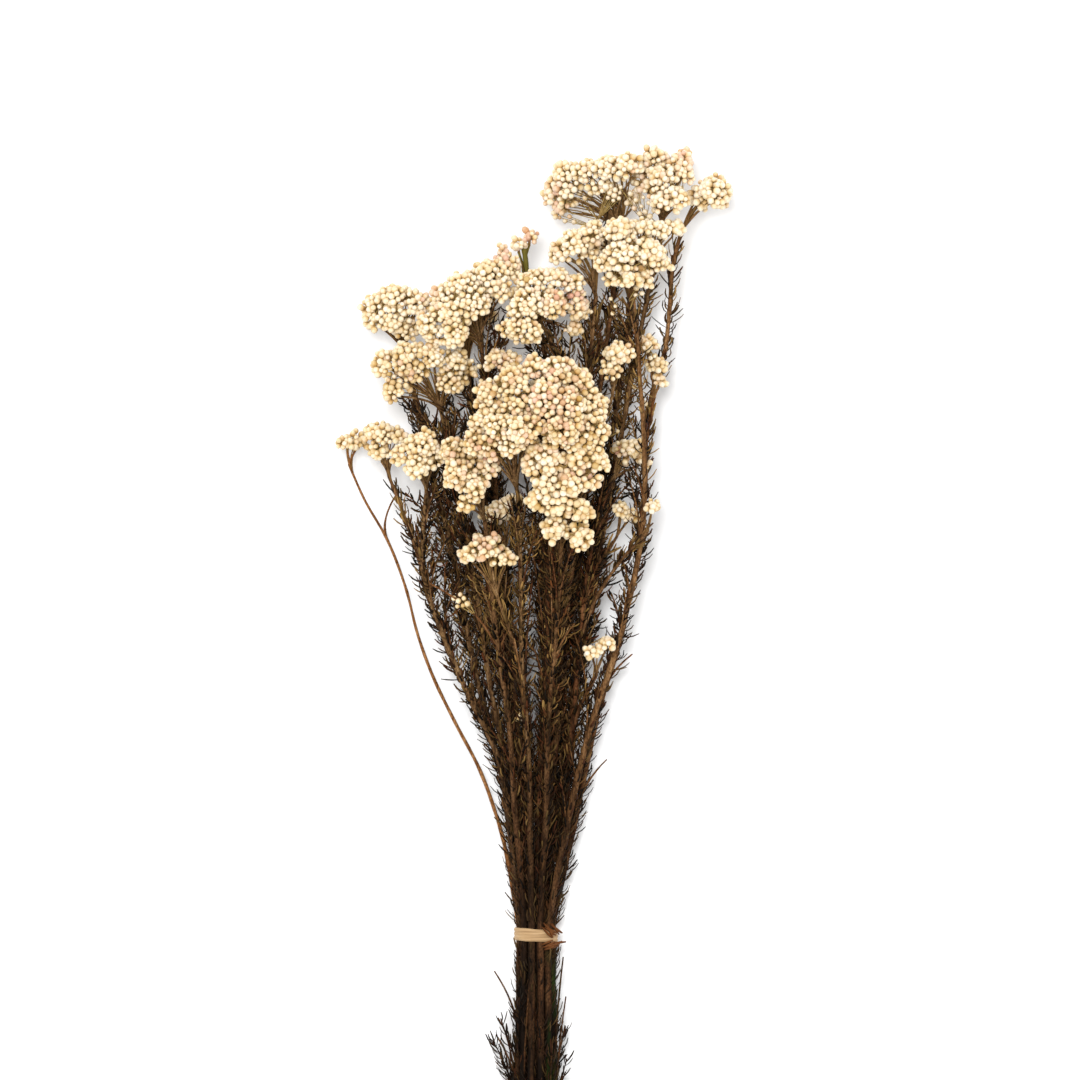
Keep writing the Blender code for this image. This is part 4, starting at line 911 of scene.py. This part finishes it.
def add_needles(needles, wood, lobes, rng):
    """The needle leaves of a stem, in a spiral, clear of the heads and the tie."""
    reached = np.append(0, np.cumsum(np.linalg.norm(np.diff(wood.line, axis=0), axis=1)))
    count = int(reached[-1] / NEEDLE_STEPS[wood.kind])
    at = (np.arange(count) + rng.uniform(0, 1, count)) * NEEDLE_STEPS[wood.kind]

    def along_wood(values):
        return np.column_stack([np.interp(at, reached, column) for column in values.T])

    def some(share):
        return rng.uniform(0, 1, count) < share

    middle = along_wood(wood.line)
    heading = unit(along_wood(unit(np.gradient(wood.line, axis=0))))
    turn = np.arange(count) * GOLDEN_ANGLE + rng.normal(0, NEEDLE_TURN, count)
    out = turned(*square_to(heading), turn)
    root = middle + out * (along_wood(wood.radii[:, None]) * NEEDLE_SEAT)
    leafy = wood.kind in ("stem", "shoot")
    pressed = np.exp(-(((reached[-1] - at) / PRESSED_REACH) ** 2)) * leafy
    tied = darkness(middle)
    closer = 1 - np.maximum(PRESSED_LEAN * pressed, TIED_LEAN * tied)
    lean = np.clip(rng.normal(*NEEDLE_LEAN, count), *LEAN_LIMITS) * closer
    later = lean + rng.normal(*NEEDLE_CURL, count) * closer
    length = NEEDLE_LENGTH * rng.uniform(*NEEDLE_LENGTHS, count)
    first = turned(heading, out, np.radians(lean))
    last = unit(turned(heading, out, np.radians(later)) + rng.normal(0, NEEDLE_ASIDE, (count, 3)))
    shares = np.linspace(0, 1, len(NEEDLE_TAPER))[None, :, None]
    lines = root[:, None] + length[:, None, None] * (first[:, None] * shares
                                                     + (last - first)[:, None] * shares**2 / 2)
    clear = np.abs(middle[:, 1] + TIE_LEAD) > TIE_WIDTH / 2 + TIE_ROOM
    for lobe in lobes:
        clear &= ((lines[:, -1] - lobe[:3]) ** 2).sum(axis=1) > (lobe[3] + LOBE_ROOM) ** 2
    low, high, left = THIN_STRETCHES.get(wood.stem, NO_STRETCH) if wood.kind == "stem" else NO_STRETCH
    clear &= (middle[:, 1] < low) | (middle[:, 1] > high) | some(left)
    clear &= (middle[:, 1] > 0) | some(LEFT_BELOW_TIE)
    clear &= (out[:, 2] < FRONT_RISE) | some(NEEDLES_IN_FRONT + (TIED_IN_FRONT - NEEDLES_IN_FRONT) * tied)
    if leafy:
        clear &= at < reached[-1] - BARE_CROWN
    clear &= np.linalg.norm(middle[:, :2] - OLIVE_SPOT[:2], axis=1) > OLIVE_SPOT[3]
    if not clear.any():
        return
    lines, out, pressed, tied = (values[clear] for values in (lift(lines, NEEDLE_FLOOR), out, pressed, tied))
    widths = NEEDLE_WIDTH * rng.uniform(*NEEDLE_WIDTHS, len(lines)) * (1 + (TIED_WIDTH - 1) * tied)
    radii = widths[:, None] / 2 * NEEDLE_TAPER
    places, faces, rise = tubes(lines, radii, NEEDLE_SIDES, NEEDLE_FLATNESS, out)
    tone = (rng.normal(*NEEDLE_TONE, len(lines)) + tone_of(lines[:, 0]) + PRESSED_TONE * pressed
            + TIED_TONE * tied)
    rust = rng.normal(*NEEDLE_RUST, len(lines)) + TIED_RUST * tied
    corners = len(NEEDLE_TAPER) * NEEDLE_SIDES
    tone, rust = (np.repeat(np.clip(values, 0, 1), corners) for values in (tone, rust))
    # the last value paints shade on the needles in the packed bundle
    needles.add(places, faces, rise=rise, tone=tone, rust=rust, dark=NEEDLE_PAINTED_SHADE * darkness(places))


def add_strays(needles, rng):
    """Needles that lie over the upper and lower edges of the tie."""
    above = np.arange(STRAY_COUNT) % 2
    heading = np.radians(rng.normal(*np.array(STRAY_HEADINGS)[above].T))
    along = rng.uniform(*STRAY_ALONG, STRAY_COUNT) * np.where(above, -1, 1)
    root = np.column_stack((rng.uniform(*STRAY_ACROSS, STRAY_COUNT), along))
    way = np.column_stack((np.cos(heading), np.sin(heading)))
    shares = np.linspace(0, 1, len(NEEDLE_TAPER))
    length = NEEDLE_LENGTH * rng.uniform(*STRAY_LENGTHS, STRAY_COUNT)
    flat = root[:, None] + way[:, None] * (length[:, None] * shares)[..., None]
    reach = TIE_RADIUS + NEEDLE_WIDTH / 2
    up = TIE_UP + np.sqrt(np.maximum(reach**2 - flat[..., 0] ** 2, reach))
    lines = np.concatenate((flat, up[..., None]), axis=2)
    places, faces, rise = tubes(lines, NEEDLE_WIDTH / 2 * NEEDLE_TAPER, NEEDLE_SIDES, NEEDLE_FLATNESS,
                                np.tile(STRAY_FACING, (STRAY_COUNT, 1)))
    needles.add(places, faces, rise=rise, tone=STRAY_TONE, rust=STRAY_RUST, dark=0.0)


def tone_of(places):
    """How much paler the wood and leaves are at each place."""
    return spots_at(places, PALE_SPOTS).sum(axis=1) + PALE_RIPPLE * ripple(places, PALE_RIPPLE_LENGTH)


def darkness(places):
    """From 0 in the open part of the bunch to 1 below the tie; it weights the shade painted on the packed
    bundle.
    """
    return np.interp(places[:, 1], (DARKEST_TO, DARKEST_FROM, DARK_TO, DARK_FROM),
                     (1, ABOVE_TIE_DARKNESS, ABOVE_TIE_DARKNESS, 0))


def build_stems(woods, rng, lobes, materials):
    """Every stem's bark, cut end and needles."""
    for stem in STEMS:
        bark, needles = Patches(), Patches()
        for wood in (wood for wood in woods if wood.stem == stem.name):
            tint = rng.uniform(*(BRANCH_TINTS if wood.kind == "branch" else TINTS))
            places, faces = bark_of(wood, rng)
            dark = darkness(places)
            bare = TWIG_BARENESS if wood.kind == "twig" else BARE_BARK.get(stem.name, 0.0)
            if wood.kind == "stem" and bare < 1:
                bare = bare * (1 - dark)
            moss = np.exp(-(((places[:, 1] - MOSS_MIDDLE) / MOSS_REACH) ** 2)) * (stem.angle in MOSSY_ANGLES)
            apart = np.hypot(*(places - OLIVE_SPOT[:3]).T[:2])
            # the last value paints shade on the bark in the packed bundle
            bark.add(places, faces, bare=bare, tint=tint * (1 - TIED_TINT * dark), moss=moss,
                     olive=np.exp(-((apart / OLIVE_SPOT[3]) ** OLIVE_POWER)), cut=0.0,
                     dark=BARK_PAINTED_SHADE * dark * (1 - bare))
            if wood.kind == "stem":
                bark.add(*cut_of(wood), bare=0.0, tint=0.0, moss=0.0, olive=0.0, cut=1.0, dark=0.0)
            if wood.kind in NEEDLE_STEPS:
                add_needles(needles, wood, lobes, rng)
        if stem.name == STRAY_STEM:
            add_strays(needles, rng)
        nodes = [f"stem_{stem.name}"]
        bark.piece(f"bark_{stem.name}", materials["bark"], nodes, "stem_wood")
        if needles.count:
            needles.piece(f"needles_{stem.name}", materials["needle"], nodes, "stem_wood")


# The tie

def build_tie(material):
    """A flat strip of raffia round the bundle, with lengthwise ribs and slightly uneven edges."""
    around = 2 * math.pi * np.arange(TIE_SIDES) / TIE_SIDES
    across = np.linspace(-1, 1, TIE_PROFILE)
    uneven = sum((size * np.sin(count * around + shift) for size, count, shift in TIE_EDGES), 1)
    edge = TIE_WIDTH / 2 * uneven
    rib = TIE_RIB * np.cos(TIE_RIBS * math.pi * across) - TIE_RIB * across**TIE_EDGE_POWER
    wave = TIE_WAVE * np.sin(TIE_WAVES * around)
    outer = TIE_RADIUS - TIE_INSET + rib[None] * TIE_RIB_SHARE + wave[:, None]
    inner = np.full_like(outer, TIE_RADIUS - TIE_THICKNESS)
    radius = np.concatenate((outer, inner[:, ::-1]), axis=1)
    along = edge[:, None] * np.concatenate((across, across[::-1]))[None]
    sideways = radius * np.cos(around)[:, None]
    places = np.stack((sideways, along + TIE_SLOPE * sideways,
                       TIE_UP + radius * np.sin(around)[:, None]), -1)
    count = radius.shape[1]
    a = np.arange(TIE_SIDES)[:, None] * count + np.arange(count)
    b = np.roll(a, -1, axis=1)
    tie = Patches()
    tie.add(places.reshape(-1, 3), quads(a, b, np.roll(b, -1, axis=0), np.roll(a, -1, axis=0)))
    tie.piece("tie_ribbon", material, ["tie_band"], "tie_ribbon")


# The setting

def add_camera():
    """Looks straight down on the bunch as it lies, like the photograph."""
    camera = bpy.data.cameras.new("camera")
    camera.lens = camera.sensor_width * CAMERA_DISTANCE / FRAME_WIDTH
    ob = add_object("camera", camera)
    ob.location = to_frame(np.array((*FRAME_MIDDLE, CAMERA_DISTANCE + FRAME_HEIGHT)))
    bpy.context.scene.camera = ob


def add_setting():
    """A plain pale floor and soft studio light."""
    mesh = bpy.data.meshes.new("floor")
    half = FLOOR_SIZE / 2
    mesh.from_pydata([(-half, -half, 0), (half, -half, 0), (half, half, 0), (-half, half, 0)], [],
                     [(0, 1, 2, 3)])
    nodes = Nodes("floor", 0.9)
    grain = nodes.ramp(nodes.noise(3), (0.3, 246, 246, 246), (0.7, 250, 250, 250))
    mesh.materials.append(nodes.finish(grain))
    floor = add_object("floor", mesh)
    light = bpy.data.lights.new("key", "AREA")
    light.shape = "DISK"
    light.size = KEY_SIZE
    light.energy = KEY_POWER
    key = add_object("key", light)
    key.location = KEY_PLACE
    way = np.array(KEY_AIM) - KEY_PLACE
    heading = math.atan2(way[1], way[0])
    key.rotation_euler = (math.acos(-way[2] / np.linalg.norm(way)), 0, heading - math.pi / 2)
    world = bpy.context.scene.world = bpy.data.worlds.new("studio")
    world.use_nodes = True
    world.node_tree.nodes["Background"].inputs["Color"].default_value = (1.0, 1.0, 1.0, 1.0)
    bpy.context.scene.view_settings.view_transform = "Standard"


OUTER_BUD = bud_shape(8, 6)
INNER_BUD = bud_shape(5, 4)


def main():
    add_camera()
    rng = np.random.default_rng(SEED)
    lobes = clear_lobes()
    materials = {"bud": bud_material(), "stalk": stalk_material(), "bark": bark_material(),
                 "needle": needle_material()}
    woods = all_wood(lobes, rng)
    for carrier, wood in zip(STEMS + SHOOTS, woods):
        build_head(carrier.name, lobes[carrier.name], wood, woods, rng, materials)
    build_stems(woods, rng, np.concatenate([lobes[name] for name in sorted(lobes)]), materials)
    build_tie(tie_material())
    add_setting()


main()
